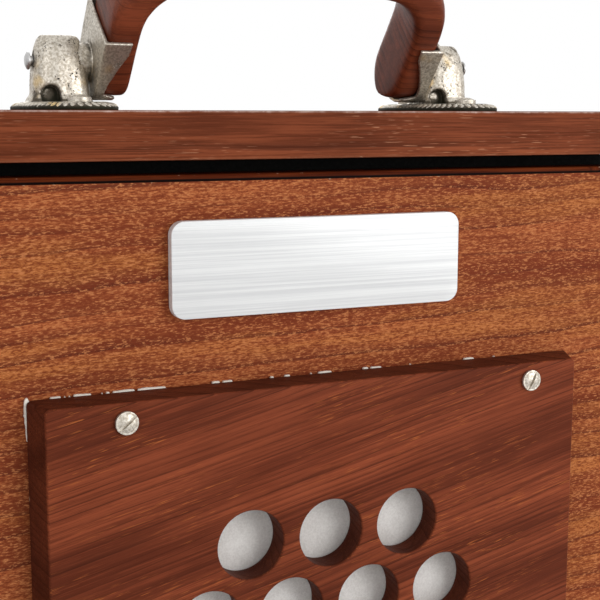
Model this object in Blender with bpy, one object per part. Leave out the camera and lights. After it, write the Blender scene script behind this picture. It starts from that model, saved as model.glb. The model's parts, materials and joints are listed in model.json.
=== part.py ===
"""Shruti box: a hand-pumped reed drone in a flat portrait case.

A veneered pump board hinges forward at its foot on a pleated bellows. Air enters through the
holes of a raised valve board, passes a leather check flap into the wind channel and fills a
sprung reservoir, whose rear wall carries thirteen free reeds. Thirteen levers on the rear
uncover the reeds. A wooden bow handle folds on two cast brackets.

Units are metres. X runs to the right, Y to the back and Z up. The origin is the centre of the
underside of the bottom plank; the front of the box faces -Y.
"""
import math

import bmesh
import bpy
from mathutils import Matrix, Vector

# Clearances
SEAT = 0.0003                    # between pieces that touch
RUNNING = 0.00015                # round a pin or a screw that something turns on

# Case
CASE_WIDTH = 0.224               # across the side walls
CASE_HEIGHT = 0.312              # under the bottom plank to the top of the top plank
PLANK_THICKNESS = 0.0125
PLANK_DEPTH = 0.080
PLANK_OVERHANG = 0.004           # planks stand past the walls and the front panel
PLANK_ARRIS = 0.0008
WALL_THICKNESS = 0.010
WALL_ARRIS = 0.0006

# Pump board
PANEL_THICKNESS = 0.003
PANEL_SETBACK = 0.0017           # frame showing round the edge of the panel
PUMP_FRAME_THICKNESS = 0.012
PUMP_RAIL_WIDTH = 0.020
PUMP_TOP_GAP = 0.0039
PUMP_FLOOR_GAP = 0.007

# Pump bellows and hinges
BELLOWS_SPACE = 0.015            # pump board to case, closed
BELLOWS_FOLD_COUNT = 5
BELLOWS_FOLD_DEPTH = 0.012
BELLOWS_EDGE = 0.0035            # depth of the cloth edge at a fold
BELLOWS_INSET = 0.002
BELLOWS_FLANGE = 0.0007
HINGE_RAIL_HEIGHT = 0.012
HINGE_LEAF = 0.0008
HINGE_LEAF_HEIGHT = 0.010
HINGE_LENGTH = 0.040
HINGE_END_MARGIN = 0.022         # end of the rail to the near end of a hinge
HINGE_KNUCKLES = 5
KNUCKLE_RADIUS = 0.0021
HINGE_PIN_RADIUS = 0.0011

# Valve board
VALVE_WIDTH = 0.163              # at the board's back
VALVE_HEIGHT = 0.168
VALVE_SHIFT = 0.001              # board's middle to the right of its holes'
VALVE_THICKNESS = 0.008
VALVE_SIDE_SLOPE = 0.0027        # how far each side edge slopes in from back to front
VALVE_END_SLOPE = 0.0009         # and the top and bottom edges
VALVE_CORNER = 0.0015
VALVE_ARRIS = 0.0005
VALVE_TOP_MARGIN = 0.053         # panel's top edge to the board's top edge
HOLE_RADIUS = 0.0095
HOLE_PITCH = 0.0237
HOLE_ROWS = (3, 4, 5, 4, 3)
VALVE_SCREW_SIDE = 0.0208        # screw centre to the board's side edge
VALVE_SCREW_SHIFT = 0.0033       # screws' middle to the right of the holes'
VALVE_SCREW_END = 0.0060         # screw centre to the board's top or bottom edge
SUEDE_THICKNESS = 0.0008
GASKET_SHOW = 0.0005             # suede showing past the board's edge
FLAP_MARGIN = 0.007              # inlet flap past the outer holes
FLAP_CLEARANCE = 0.004

# Name plate, left bare
PLATE_WIDTH = 0.0854
PLATE_HEIGHT = 0.0253
PLATE_THICKNESS = 0.0026
PLATE_CORNER = 0.0036
PLATE_ARRIS = 0.0003
PLATE_TOP_MARGIN = 0.0099        # panel's top edge to the plate's top edge

# Partition, check valve and wind channel
PARTITION_THICKNESS = 0.004
PORT_RADIUS = 0.007
PORT_COUNT = 5
PORT_PITCH = 0.030
CHANNEL_HEIGHT = 0.030           # under the top plank to the channel bar
CHANNEL_BAR_HEIGHT = 0.008
CHECK_FLAP_THICKNESS = 0.0012
CHECK_FLAP_MARGIN = 0.005

# Reed board
REED_BOARD_THICKNESS = 0.006
REED_BOARD_RECESS = 0.006        # rear edge of the walls to the board's outer face
TRUNK_WIDTH = 0.040              # groove that brings wind under the channel bar to the reeds
TRUNK_DEPTH = 0.003
REED_COUNT = 13
REED_COLUMN_MARGIN = 0.0175      # lowest and highest reed to the reservoir's edges
REED_SIDE_MARGIN = 0.034         # case's inner face to the reed holes
REED_WIDTH = 0.014
REED_PLATE_THICKNESS = 0.0018
REED_PLATE_END = 0.008           # plate past the middle of the holes
LONGEST_REED = 0.050
REED_STEP = 0.0012               # each note's reed is this much shorter
TONGUE_WIDTH = 0.0040
TONGUE_THICKNESS = 0.0004
TONGUE_CLEARANCE = 0.0004
TONGUE_ROOT = 0.005

# Levers on the rear
LEVER_REACH = 0.024              # pivot to the hole that the lever covers
LEVER_HEAD = 0.0075
LEVER_TAIL = 0.0052
LEVER_THICKNESS = 0.003
LEVER_ARRIS = 0.0004
REED_HOLE_RADIUS = 0.0045
KNOB_RADIUS = 0.0046
KNOB_HEIGHT = 0.0095
PIVOT_HEAD_RADIUS = 0.0034
PIVOT_HEAD_HEIGHT = 0.0017
PILOT_DEPTH = 0.004

# Reservoir
RESERVOIR_FOLD_COUNT = 2
RESERVOIR_SPACE = 0.0062         # reed board to reservoir board, empty
RESERVOIR_BOARD = 0.004
RESERVOIR_MARGIN = 0.008         # board's edge to the case's inner faces
RESERVOIR_FOLD_DEPTH = 0.006
RESERVOIR_EDGE = 0.0025
RESERVOIR_INSET = 0.0005
SPRING_WIRE = 0.0007             # radius of the wire
SPRING_COIL = 0.0050             # radius of the coil's centre line
SPRING_TURNS = 2
SPRING_ARM = 0.085
SPRING_SPREAD = 0.110
SPRING_FOOT = 0.050

# Handle
HANDLE_SETBACK = 0.0025          # pivot axis behind the middle of the top plank
HANDLE_LEAN = math.radians(40)   # forward from upright
HANDLE_FLOOR_GAP = 0.0005        # bracket plate to the ferrules' round ends
GRIP_LEG_INNER = 0.0415          # leg's inner face from the centre line
GRIP_LEG_THICKNESS = 0.009
GRIP_LEG_RADIUS = 0.0092         # half the leg's width, and its round end
GRIP_RISE = 0.034                # pivot to the middle of the grip
GRIP_ARCH = 0.003
GRIP_CORNER = 0.017
GRIP_THICKNESS = 0.013
GRIP_END_ANGLE = math.radians(12)
LEG_SQUARENESS = 6.0             # power of the section's outline in the legs
GRIP_SQUARENESS = 2.8            # and at the grip
FERRULE_WALL = 0.0010
FERRULE_HEIGHT = 0.014
CLAW_EDGE = ((-0.20, -1.5), (0.42, -1.5), (0.42, -0.62), (0.86, -0.42), (0.80, 0.0),
             (0.58, 0.60), (0.34, 1.10), (0.24, 2.0), (-0.20, 2.0))    # shares of the leg's section
LUG_RADIUS = 0.0050
LUG_LENGTH = 0.0058
BRACKET_SPREAD = 0.1184          # between the brackets' centres
BRACKET_PLATE_WIDTH = 0.026      # along the case's width
BRACKET_PLATE_LENGTH = 0.055     # front to back
BRACKET_PLATE_THICKNESS = 0.0019
BRACKET_EDGE = 0.0007            # upright edge at the foot of the plate's sloping rim
BRACKET_RIM = 0.0030             # width of the sloping rim
BRACKET_ROUNDNESS = 2.2          # power of the plate's oval
COWL_INNER_GAP = 0.0006
COWL_LENGTH = 0.0155
COWL_WIDTH = 0.0145
COWL_WALL = 0.0020
COWL_FOOT = 0.0010
COWL_FOOT_RISE = 0.0017
COWL_SHOULDER = 0.0030           # plate to where the hood starts to round over
COWL_SQUARENESS = 3.0            # power of the hood's outline at its foot
COWL_DOME = 2.6                  # power of the hood's rounded top
COWL_RIDGE = 0.45                # length of the hood's top, as a share of its foot
RECESS_WIDTH = 0.0052            # arched recess in the hood's front, and again in its back
RECESS_HEIGHT = 0.0046
RECESS_DEPTH = 0.0030
RECESS_OFFSET = 0.0038
RECESS_FLOOR = 0.0002            # into the plate
HANDLE_PIN_RADIUS = 0.0014
HANDLE_PIN_HEAD = 0.0024
HANDLE_PIN_CROWN = 0.0010
BRACKET_SCREW_SPREAD = 0.035     # between the screws in front of and behind a hood
BRACKET_SCREW_RADIUS = 0.0031
BRACKET_SCREW_HEIGHT = 0.0020
SHANK_RADIUS = 0.0015            # shank of every wood screw
SCREW_HEAD_RADIUS = 0.0030
SCREW_HEAD_HEIGHT = 0.0012
HEAD_RIM_SHARE = 0.5             # upright rim of a head, as a share of its height
HEAD_TOP_SHARE = 0.62            # flat on a head's crown, as a share of its radius
SCREW_SLOT_WIDTH = 0.0007
SCREW_SLOT_DEPTH = 0.0006
SLOT_FIRST_ANGLE = math.radians(40)
SLOT_ANGLE_STEP = math.radians(20)

# Facets
PLATE_SIDES = 40
COWL_SIDES = 20
COWL_STEPS = 7
ARCH_STEPS = 6
CORNER_STEPS = 5
GRIP_SIDES = 16
GRIP_SPAN_STEPS = 3

# Places that follow from the sizes above
HALF_WIDTH = CASE_WIDTH / 2
PLANK_FRONT = -PLANK_DEPTH / 2
PLANK_BACK = PLANK_DEPTH / 2
TOP_PLANK_UNDER = CASE_HEIGHT - PLANK_THICKNESS
INNER_HALF = HALF_WIDTH - WALL_THICKNESS
PANEL_FACE = PLANK_FRONT + PLANK_OVERHANG
PANEL_REAR = PANEL_FACE + PANEL_THICKNESS
PUMP_FRONT = PANEL_REAR + SEAT
PUMP_REAR = PUMP_FRONT + PUMP_FRAME_THICKNESS
PUMP_TOP = TOP_PLANK_UNDER - PUMP_TOP_GAP
PUMP_FOOT = PLANK_THICKNESS + PUMP_FLOOR_GAP
PANEL_TOP = PUMP_TOP - PANEL_SETBACK
PANEL_FOOT = PUMP_FOOT + PANEL_SETBACK
CASE_FRONT = PUMP_REAR + BELLOWS_SPACE
CASE_BACK = PLANK_BACK - PLANK_OVERHANG
HINGE_GAP = 2 * HINGE_LEAF + 3 * SEAT
HINGE_AXIS_Y = PUMP_REAR + HINGE_GAP / 2
HINGE_AXIS_Z = PUMP_FOOT - KNUCKLE_RADIUS - SEAT
SUEDE_BACK = PANEL_FACE - SEAT
SUEDE_FRONT = SUEDE_BACK - SUEDE_THICKNESS
VALVE_BACK = SUEDE_FRONT - SEAT
VALVE_FRONT = VALVE_BACK - VALVE_THICKNESS
VALVE_TOP = PANEL_TOP - VALVE_TOP_MARGIN
VALVE_MIDDLE = VALVE_TOP - VALVE_HEIGHT / 2
ROW_RISE = HOLE_PITCH * math.sin(math.radians(60))
HOLES_HALF_WIDTH = (max(HOLE_ROWS) - 1) * HOLE_PITCH / 2 + HOLE_RADIUS
HOLES_HALF_HEIGHT = (len(HOLE_ROWS) - 1) * ROW_RISE / 2 + HOLE_RADIUS
FLAP_HALF_WIDTH = HOLES_HALF_WIDTH + FLAP_MARGIN
FLAP_HALF_HEIGHT = HOLES_HALF_HEIGHT + FLAP_MARGIN
INLET_HALF_WIDTH = FLAP_HALF_WIDTH + FLAP_CLEARANCE
INLET_HALF_HEIGHT = FLAP_HALF_HEIGHT + FLAP_CLEARANCE
PARTITION_BACK = CASE_FRONT + PARTITION_THICKNESS
REED_OUTER = CASE_BACK - REED_BOARD_RECESS
REED_INNER = REED_OUTER - REED_BOARD_THICKNESS
CHANNEL_FLOOR = TOP_PLANK_UNDER - CHANNEL_HEIGHT
RESERVOIR_TOP = CHANNEL_FLOOR - CHANNEL_BAR_HEIGHT - RESERVOIR_MARGIN / 2
RESERVOIR_FOOT = PLANK_THICKNESS + RESERVOIR_MARGIN
RESERVOIR_HALF = INNER_HALF - RESERVOIR_MARGIN
RESERVOIR_REAR = REED_INNER - RESERVOIR_SPACE
REED_HOLE_OFFSET = INNER_HALF - REED_SIDE_MARGIN
PIVOT_OFFSET = REED_HOLE_OFFSET - LEVER_REACH
LEFT_REEDS = (REED_COUNT + 1) // 2
REED_COLUMN_FOOT = RESERVOIR_FOOT + REED_COLUMN_MARGIN
REED_PITCH = (RESERVOIR_TOP - REED_COLUMN_MARGIN - REED_COLUMN_FOOT) / (LEFT_REEDS - 1)
PORT_HEIGHT = (TOP_PLANK_UNDER + CHANNEL_FLOOR) / 2
BRACKET_FACE = CASE_HEIGHT + SEAT + BRACKET_PLATE_THICKNESS
PIVOT_Y = HANDLE_SETBACK
PIVOT_Z = BRACKET_FACE + HANDLE_FLOOR_GAP + GRIP_LEG_RADIUS + SEAT + FERRULE_WALL
LEG_OUTER = GRIP_LEG_INNER + GRIP_LEG_THICKNESS
FERRULE_OUTER = LEG_OUTER + SEAT + FERRULE_WALL
COWL_INNER = FERRULE_OUTER + COWL_INNER_GAP
BRACKET_MIDDLE = BRACKET_SPREAD / 2
SOCKET_RADIUS = LUG_RADIUS + SEAT

# Finishes: colour, roughness, metallic
REDWOOD = ((0.165, 0.048, 0.024), 0.45, 0.0)
DARK_REDWOOD = ((0.120, 0.034, 0.018), 0.42, 0.0)
VENEER = ((0.400, 0.150, 0.055), 0.40, 0.0)
PLYWOOD = ((0.480, 0.310, 0.160), 0.60, 0.0)
SUEDE = ((0.520, 0.500, 0.460), 0.90, 0.0)
LEATHER = ((0.560, 0.430, 0.280), 0.75, 0.0)
BELLOWS_CLOTH = ((0.020, 0.018, 0.018), 0.80, 0.0)
NICKEL = ((0.620, 0.600, 0.560), 0.30, 1.0)
BRASS = ((0.700, 0.480, 0.180), 0.30, 1.0)
STEEL = ((0.560, 0.560, 0.570), 0.35, 1.0)
PLATE_METAL = ((0.800, 0.800, 0.800), 0.32, 1.0)


def clear_scene():
    """Remove what the scene holds."""
    for item in list(bpy.data.objects):
        bpy.data.objects.remove(item, do_unlink=True)


def material(name, finish):
    """A plain Principled material: colour, roughness and metallic."""
    colour, roughness, metallic = finish
    made = bpy.data.materials.new(name)
    made.use_nodes = True
    shader = made.node_tree.nodes["Principled BSDF"]
    shader.inputs["Base Color"].default_value = (*colour, 1.0)
    shader.inputs["Roughness"].default_value = roughness
    shader.inputs["Metallic"].default_value = metallic
    return made


def add_object(name, bm, finish, smooth_angle=None):
    """Turn a bmesh into a named object with its own material."""
    bmesh.ops.recalc_face_normals(bm, faces=bm.faces)
    mesh = bpy.data.meshes.new(name)
    bm.to_mesh(mesh)
    bm.free()
    made = bpy.data.objects.new(name, mesh)
    bpy.context.scene.collection.objects.link(made)
    if finish is not None:
        mesh.materials.append(material(name, finish))
    if smooth_angle is not None:
        mesh.shade_smooth()
        mesh.set_sharp_from_angle(angle=math.radians(smooth_angle))
    return made


def add_block(bm, low, high):
    """Add a box between two corners."""
    size = Vector(high) - Vector(low)
    middle = (Vector(high) + Vector(low)) / 2
    place = Matrix.Translation(middle) @ Matrix.Diagonal((*size, 1.0))
    bmesh.ops.create_cube(bm, size=1.0, matrix=place)


def block(name, low, high, finish, arris=0.0):
    """A board with eased edges."""
    bm = bmesh.new()
    add_block(bm, low, high)
    made = add_object(name, bm, finish)
    if arris:
        ease(made, arris)
    return made


def ease(board, width, segments=2):
    """Round an object's sharp edges over."""
    bevel = board.modifiers.new("eased edges", "BEVEL")
    bevel.width = width
    bevel.segments = segments
    bevel.limit_method = "ANGLE"
    bevel.angle_limit = math.radians(40)


def add_rings(bm, rings):
    """Skin equal rings of points in order and cap both ends."""
    made = [[bm.verts.new(point) for point in ring] for ring in rings]
    for lower, upper in zip(made, made[1:]):
        count = len(lower)
        for i in range(count):
            j = (i + 1) % count
            bm.faces.new((lower[i], lower[j], upper[j], upper[i]))
    bm.faces.new(list(reversed(made[0])))
    bm.faces.new(made[-1])


def add_closed_rings(bm, rings):
    """Skin equal rings of points in order and join the last to the first."""
    made = [[bm.verts.new(point) for point in ring] for ring in rings]
    for lower, upper in zip(made, made[1:] + made[:1]):
        count = len(lower)
        for i in range(count):
            j = (i + 1) % count
            bm.faces.new((lower[i], lower[j], upper[j], upper[i]))


def along(axis, depth, outline):
    """Stand a flat outline at a depth along X, Y or Z."""
    if axis == "X":
        return [Vector((depth, u, v)) for u, v in outline]
    if axis == "Y":
        return [Vector((u, depth, v)) for u, v in outline]
    return [Vector((u, v, depth)) for u, v in outline]


def circle(radius, count, middle=(0.0, 0.0)):
    """Points round a circle."""
    turn = 2 * math.pi / count
    return [(middle[0] + radius * math.cos(i * turn), middle[1] + radius * math.sin(i * turn))
            for i in range(count)]


def add_rod(bm, axis, start, end, radius, middle, count=16):
    """Add a round bar along X, Y or Z about a flat middle point."""
    outline = circle(radius, count, middle)
    add_rings(bm, [along(axis, start, outline), along(axis, end, outline)])


def add_turned(bm, axis, middle, profile, count=16):
    """Add a turned solid from (depth, radius) steps along an axis."""
    add_rings(bm, [along(axis, depth, circle(radius, count, middle)) for depth, radius in profile])


def rectangle(half_width, half_height, middle):
    """Four corners, anticlockwise from the upper right."""
    return [(middle[0] + u * half_width, middle[1] + v * half_height)
            for u, v in ((1, 1), (-1, 1), (-1, -1), (1, -1))]


def rounded_rectangle(half_width, half_height, radius, middle=(0.0, 0.0), steps=4):
    """An outline with round corners, anticlockwise from the right."""
    points = []
    for corner in range(4):
        side_u = 1 if corner in (0, 3) else -1
        side_v = 1 if corner in (0, 1) else -1
        centre_u = middle[0] + side_u * (half_width - radius)
        centre_v = middle[1] + side_v * (half_height - radius)
        for k in range(steps + 1):
            angle = math.radians(90) * (corner + k / steps)
            points.append((centre_u + radius * math.cos(angle), centre_v + radius * math.sin(angle)))
    return points


def superellipse(half_u, half_v, power, count, middle=(0.0, 0.0)):
    """An outline between an ellipse and a rectangle."""
    points = []
    for i in range(count):
        angle = 2 * math.pi * (i + 0.5) / count
        cosine, sine = math.cos(angle), math.sin(angle)
        u = math.copysign(abs(cosine) ** (2 / power), cosine)
        v = math.copysign(abs(sine) ** (2 / power), sine)
        points.append((middle[0] + half_u * u, middle[1] + half_v * v))
    return points


def cutter(name, bm):
    """A hidden tool body for a Boolean."""
    made = add_object(name, bm, None)
    made.hide_render = True
    made.display_type = "WIRE"
    return made


def apply_boolean(target, tool, operation):
    """Cut with, or join, a hidden body."""
    step = target.modifiers.new(tool.name, "BOOLEAN")
    step.operation = operation
    step.solver = "EXACT"
    step.object = tool


def cut(target, bm):
    """Take a body away from an object."""
    apply_boolean(target, cutter(target.name + "_cutter", bm), "DIFFERENCE")


def join(target, bm):
    """Fuse a body to an object."""
    apply_boolean(target, cutter(target.name + "_joined", bm), "UNION")


def slot_angle(index):
    """How a screw's slot came to rest, different for each."""
    return SLOT_FIRST_ANGLE + index * SLOT_ANGLE_STEP


def add_slot(bm, axis, middle, face, angle, radius):
    """Add a bar that cuts a slot across a screw head of this radius whose top is at face."""
    facing = -1 if axis == "Y" and face < 0 else 1
    size = (2 * radius + SCREW_SLOT_WIDTH, SCREW_SLOT_DEPTH * 2, SCREW_SLOT_WIDTH)
    if axis == "Y":
        place = Matrix.Translation((middle[0], face, middle[1]))
        turn = Matrix.Rotation(-angle * facing, 4, "Y")
    else:
        place = Matrix.Translation((middle[0], middle[1], face))
        turn = Matrix.Rotation(angle, 4, "Z") @ Matrix.Rotation(math.radians(90), 4, "X")
    bmesh.ops.create_cube(bm, size=1.0, matrix=place @ turn @ Matrix.Diagonal((*size, 1.0)))


def pan_head(radius, height):
    """Steps of a domed screw head from its seat: (height, radius)."""
    return [(0.0, radius), (height * HEAD_RIM_SHARE, radius), (height, radius * HEAD_TOP_SHARE)]


def make_planks():
    """Top and bottom planks, which stand past the case on every side."""
    half = HALF_WIDTH + PLANK_OVERHANG
    block("bottom_plank", (-half, PLANK_FRONT, 0.0), (half, PLANK_BACK, PLANK_THICKNESS),
          REDWOOD, PLANK_ARRIS)
    top = block("top_plank", (-half, PLANK_FRONT, TOP_PLANK_UNDER), (half, PLANK_BACK, CASE_HEIGHT),
                REDWOOD, PLANK_ARRIS)
    pilots = bmesh.new()
    for x, y in bracket_screw_places():
        add_rod(pilots, "Z", CASE_HEIGHT - PILOT_DEPTH, CASE_HEIGHT + PILOT_DEPTH,
                SHANK_RADIUS + SEAT, (x, y), 10)
    cut(top, pilots)


def make_walls():
    """Side walls between the planks."""
    low = PLANK_THICKNESS + SEAT
    high = TOP_PLANK_UNDER - SEAT
    for name, side in (("side_wall_left", -1), ("side_wall_right", 1)):
        edges = sorted((side * INNER_HALF, side * HALF_WIDTH))
        block(name, (edges[0], CASE_FRONT, low), (edges[1], CASE_BACK, high), REDWOOD, WALL_ARRIS)


def make_partition():
    """Ply wall behind the pump, with a row of ports, and the leather check flap over them."""
    edge = INNER_HALF - SEAT
    low = PLANK_THICKNESS + SEAT
    wall = block("valve_partition", (-edge, CASE_FRONT, low),
                 (edge, PARTITION_BACK, TOP_PLANK_UNDER - SEAT), PLYWOOD)
    ports = bmesh.new()
    for i in range(PORT_COUNT):
        x = (i - (PORT_COUNT - 1) / 2) * PORT_PITCH
        add_rod(ports, "Y", CASE_FRONT - PORT_RADIUS, PARTITION_BACK + PORT_RADIUS,
                PORT_RADIUS, (x, PORT_HEIGHT), 20)
    cut(wall, ports)
    reach = (PORT_COUNT - 1) / 2 * PORT_PITCH + PORT_RADIUS + CHECK_FLAP_MARGIN
    rise = PORT_RADIUS + CHECK_FLAP_MARGIN
    front = PARTITION_BACK + SEAT
    block("check_flap", (-reach, front, PORT_HEIGHT - rise),
          (reach, front + CHECK_FLAP_THICKNESS, PORT_HEIGHT + rise), LEATHER)
    block("channel_bar", (-edge, PARTITION_BACK + SEAT, CHANNEL_FLOOR - CHANNEL_BAR_HEIGHT),
          (edge, REED_INNER - SEAT, CHANNEL_FLOOR), REDWOOD)


def reed_places():
    """Each reed's note number, side and height: seven on the left, six on the right."""
    places = []
    for note in range(REED_COUNT):
        side = -1 if note < LEFT_REEDS else 1
        row = note if note < LEFT_REEDS else note - LEFT_REEDS
        stagger = 0.0 if side < 0 else REED_PITCH / 2
        places.append((note, side, REED_COLUMN_FOOT + row * REED_PITCH + stagger))
    return places


def make_reed_board():
    """Rear board: a hole under each lever, the levers' pivot screws, and the wind trunks."""
    edge = INNER_HALF - SEAT
    board = block("reed_board", (-edge, REED_INNER, PLANK_THICKNESS + SEAT),
                  (edge, REED_OUTER, TOP_PLANK_UNDER - SEAT), REDWOOD, WALL_ARRIS)
    tools = bmesh.new()
    screws = bmesh.new()
    slots = bmesh.new()
    seat = REED_OUTER + SEAT + LEVER_THICKNESS + SEAT
    for note, side, z in reed_places():
        hole_x = side * REED_HOLE_OFFSET
        add_rod(tools, "Y", REED_INNER - HOLE_RADIUS, REED_OUTER + HOLE_RADIUS,
                REED_HOLE_RADIUS, (hole_x, z), 14)
        middle = (side * PIVOT_OFFSET, z)
        steps = [(REED_OUTER - PILOT_DEPTH, SHANK_RADIUS), (seat, SHANK_RADIUS)]
        steps += [(seat + h, r) for h, r in pan_head(PIVOT_HEAD_RADIUS, PIVOT_HEAD_HEIGHT)]
        add_turned(screws, "Y", middle, steps, 10)
        add_slot(slots, "Y", middle, seat + PIVOT_HEAD_HEIGHT, slot_angle(note), PIVOT_HEAD_RADIUS)
    top = CHANNEL_FLOOR + RESERVOIR_MARGIN
    foot = RESERVOIR_TOP - RESERVOIR_FOLD_DEPTH - RESERVOIR_MARGIN
    add_block(tools, (-TRUNK_WIDTH / 2, REED_INNER - TRUNK_DEPTH, foot),
              (TRUNK_WIDTH / 2, REED_INNER + TRUNK_DEPTH, top))
    cut(board, tools)
    join(board, screws)
    cut(board, slots)


def make_reed_plate(name, side):
    """One bank of free reeds: a slotted brass plate with a tongue riveted over each slot."""
    rear = REED_INNER - SEAT
    front = rear - REED_PLATE_THICKNESS
    bank = [(note, z) for note, place, z in reed_places() if place == side]
    hole_x = side * REED_HOLE_OFFSET
    edges = sorted((hole_x + side * REED_PLATE_END, hole_x - side * (LONGEST_REED - REED_PLATE_END)))
    low = bank[0][1] - REED_WIDTH / 2
    high = bank[-1][1] + REED_WIDTH / 2
    plate = block(name, (edges[0], front, low), (edges[1], rear, high), BRASS)
    slots = bmesh.new()
    tongues = bmesh.new()
    for note, z in bank:
        length = LONGEST_REED - note * REED_STEP - REED_PLATE_END * 2
        tip = hole_x + side * REED_HOLE_RADIUS
        root = tip - side * length
        ends = sorted((tip + side * TONGUE_CLEARANCE, root))
        half = TONGUE_WIDTH / 2 + TONGUE_CLEARANCE
        add_block(slots, (ends[0], front - REED_PLATE_THICKNESS, z - half),
                  (ends[1], rear + REED_PLATE_THICKNESS, z + half))
        ends = sorted((tip, root - side * TONGUE_ROOT))
        add_block(tongues, (ends[0], front - TONGUE_THICKNESS, z - TONGUE_WIDTH / 2),
                  (ends[1], front + TONGUE_THICKNESS, z + TONGUE_WIDTH / 2))
    cut(plate, slots)
    join(plate, tongues)


def tongue_outline(reach, head, tail, steps=5):
    """A lever's outline: two round ends joined by straight tangents, tail at the origin."""
    lean = math.acos((tail - head) / reach)
    points = []
    for k in range(steps + 1):
        angle = -lean + 2 * lean * k / steps
        points.append((reach + head * math.cos(angle), head * math.sin(angle)))
    for k in range(steps + 1):
        angle = lean + 2 * (math.pi - lean) * k / steps
        points.append((tail * math.cos(angle), tail * math.sin(angle)))
    return points


def make_lever(name, side, z):
    """One lever with its turned knob, its origin on the pivot."""
    rear = REED_OUTER + SEAT
    back = rear + LEVER_THICKNESS
    outline = [(side * u, v) for u, v in tongue_outline(LEVER_REACH, LEVER_HEAD, LEVER_TAIL)]
    bm = bmesh.new()
    add_rings(bm, [along("Y", rear, outline), along("Y", back, outline)])
    lever = add_object(name, bm, DARK_REDWOOD)
    ease(lever, LEVER_ARRIS, 1)
    hole = bmesh.new()
    add_rod(hole, "Y", rear - LEVER_THICKNESS, back + LEVER_THICKNESS,
            SHANK_RADIUS + RUNNING, (0.0, 0.0), 12)
    cut(lever, hole)
    knob = bmesh.new()
    steps = [(-0.05, 0.86), (0.10, 0.86), (0.34, 0.56), (0.70, 1.0), (0.90, 0.86), (1.0, 0.40)]
    profile = [(back + h * KNOB_HEIGHT, r * KNOB_RADIUS) for h, r in steps]
    add_turned(knob, "Y", (side * LEVER_REACH, 0.0), profile, 12)
    join(lever, knob)
    for item in (lever, bpy.data.objects[name + "_cutter"], bpy.data.objects[name + "_joined"]):
        item.location = (side * PIVOT_OFFSET, 0.0, z)


def make_levers():
    """Thirteen levers, numbered up the left column and then up the right."""
    for note, side, z in reed_places():
        make_lever("lever_%02d" % (note + 1), side, z)


def pleated_rings(middle, half_width, half_height, front, back, folds, depth, edge, flange):
    """Rings of a pleated skin: the outer face from front to back, then the inner face back."""
    span = back - front - 2 * flange
    stations = [(front, 0.0)]
    for i in range(2 * folds + 1):
        stations.append((front + flange + span * i / (2 * folds), depth if i % 2 else 0.0))
    stations.append((back, 0.0))
    inner = [(y, inset + edge) for y, inset in reversed(stations)]
    return [along("Y", y, rectangle(half_width - inset, half_height - inset, middle))
            for y, inset in stations + inner]


def make_pump_bellows():
    """Pleated bellows between the pump board and the case, shut."""
    low = PUMP_FOOT + HINGE_RAIL_HEIGHT + BELLOWS_INSET
    high = PUMP_TOP - BELLOWS_INSET
    bm = bmesh.new()
    rings = pleated_rings((0.0, (low + high) / 2), HALF_WIDTH - BELLOWS_INSET, (high - low) / 2,
                          PUMP_REAR + SEAT, CASE_FRONT - SEAT, BELLOWS_FOLD_COUNT, BELLOWS_FOLD_DEPTH,
                          BELLOWS_EDGE, BELLOWS_FLANGE)
    add_closed_rings(bm, rings)
    add_object("pump_bellows", bm, BELLOWS_CLOTH)


def make_pump_frame():
    """Redwood frame behind the front panel."""
    frame = block("pump_frame", (-HALF_WIDTH, PUMP_FRONT, PUMP_FOOT),
                  (HALF_WIDTH, PUMP_REAR, PUMP_TOP), REDWOOD, WALL_ARRIS)
    window = bmesh.new()
    add_block(window, (-HALF_WIDTH + PUMP_RAIL_WIDTH, PUMP_FRONT - PUMP_FRAME_THICKNESS,
                       PUMP_FOOT + PUMP_RAIL_WIDTH),
              (HALF_WIDTH - PUMP_RAIL_WIDTH, PUMP_REAR + PUMP_FRAME_THICKNESS,
               PUMP_TOP - PUMP_RAIL_WIDTH))
    cut(frame, window)


def make_front_panel():
    """Veneered panel with the inlet opening behind the valve board."""
    half = HALF_WIDTH - PANEL_SETBACK
    panel = block("front_panel", (-half, PANEL_FACE, PANEL_FOOT), (half, PANEL_REAR, PANEL_TOP),
                  VENEER)
    opening = bmesh.new()
    add_block(opening, (-INLET_HALF_WIDTH, PANEL_FACE - PANEL_THICKNESS,
                        VALVE_MIDDLE - INLET_HALF_HEIGHT),
              (INLET_HALF_WIDTH, PANEL_REAR + PANEL_THICKNESS, VALVE_MIDDLE + INLET_HALF_HEIGHT))
    for x, z in valve_screw_places():
        add_rod(opening, "Y", PANEL_FACE - PANEL_THICKNESS, PANEL_REAR + PANEL_THICKNESS,
                SHANK_RADIUS + SEAT, (x, z), 10)
    cut(panel, opening)


def cushioned_rings(middle, half_width, half_height, corner, arris, back, front, steps=3):
    """Rings of a board whose front edges are rounded over."""
    rings = [along("Y", back, rounded_rectangle(half_width, half_height, corner, middle))]
    for k in range(steps + 1):
        angle = math.radians(90) * k / steps
        inset = arris * (1 - math.cos(angle))
        y = front + arris * (1 - math.sin(angle))
        outline = rounded_rectangle(half_width - inset, half_height - inset,
                                    corner - inset, middle)
        rings.append(along("Y", y, outline))
    return rings


def hole_places():
    """Centres of the inlet holes: rows of three, four, five, four and three."""
    places = []
    for row, count in enumerate(HOLE_ROWS):
        z = VALVE_MIDDLE + ((len(HOLE_ROWS) - 1) / 2 - row) * ROW_RISE
        for i in range(count):
            places.append(((i - (count - 1) / 2) * HOLE_PITCH, z))
    return places


def valve_screw_places():
    """Centres of the valve board's four screws."""
    x = VALVE_WIDTH / 2 - VALVE_SCREW_SIDE
    z = VALVE_HEIGHT / 2 - VALVE_SCREW_END
    return [(VALVE_SCREW_SHIFT + side * x, VALVE_MIDDLE + end * z)
            for end in (1, -1) for side in (-1, 1)]


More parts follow.
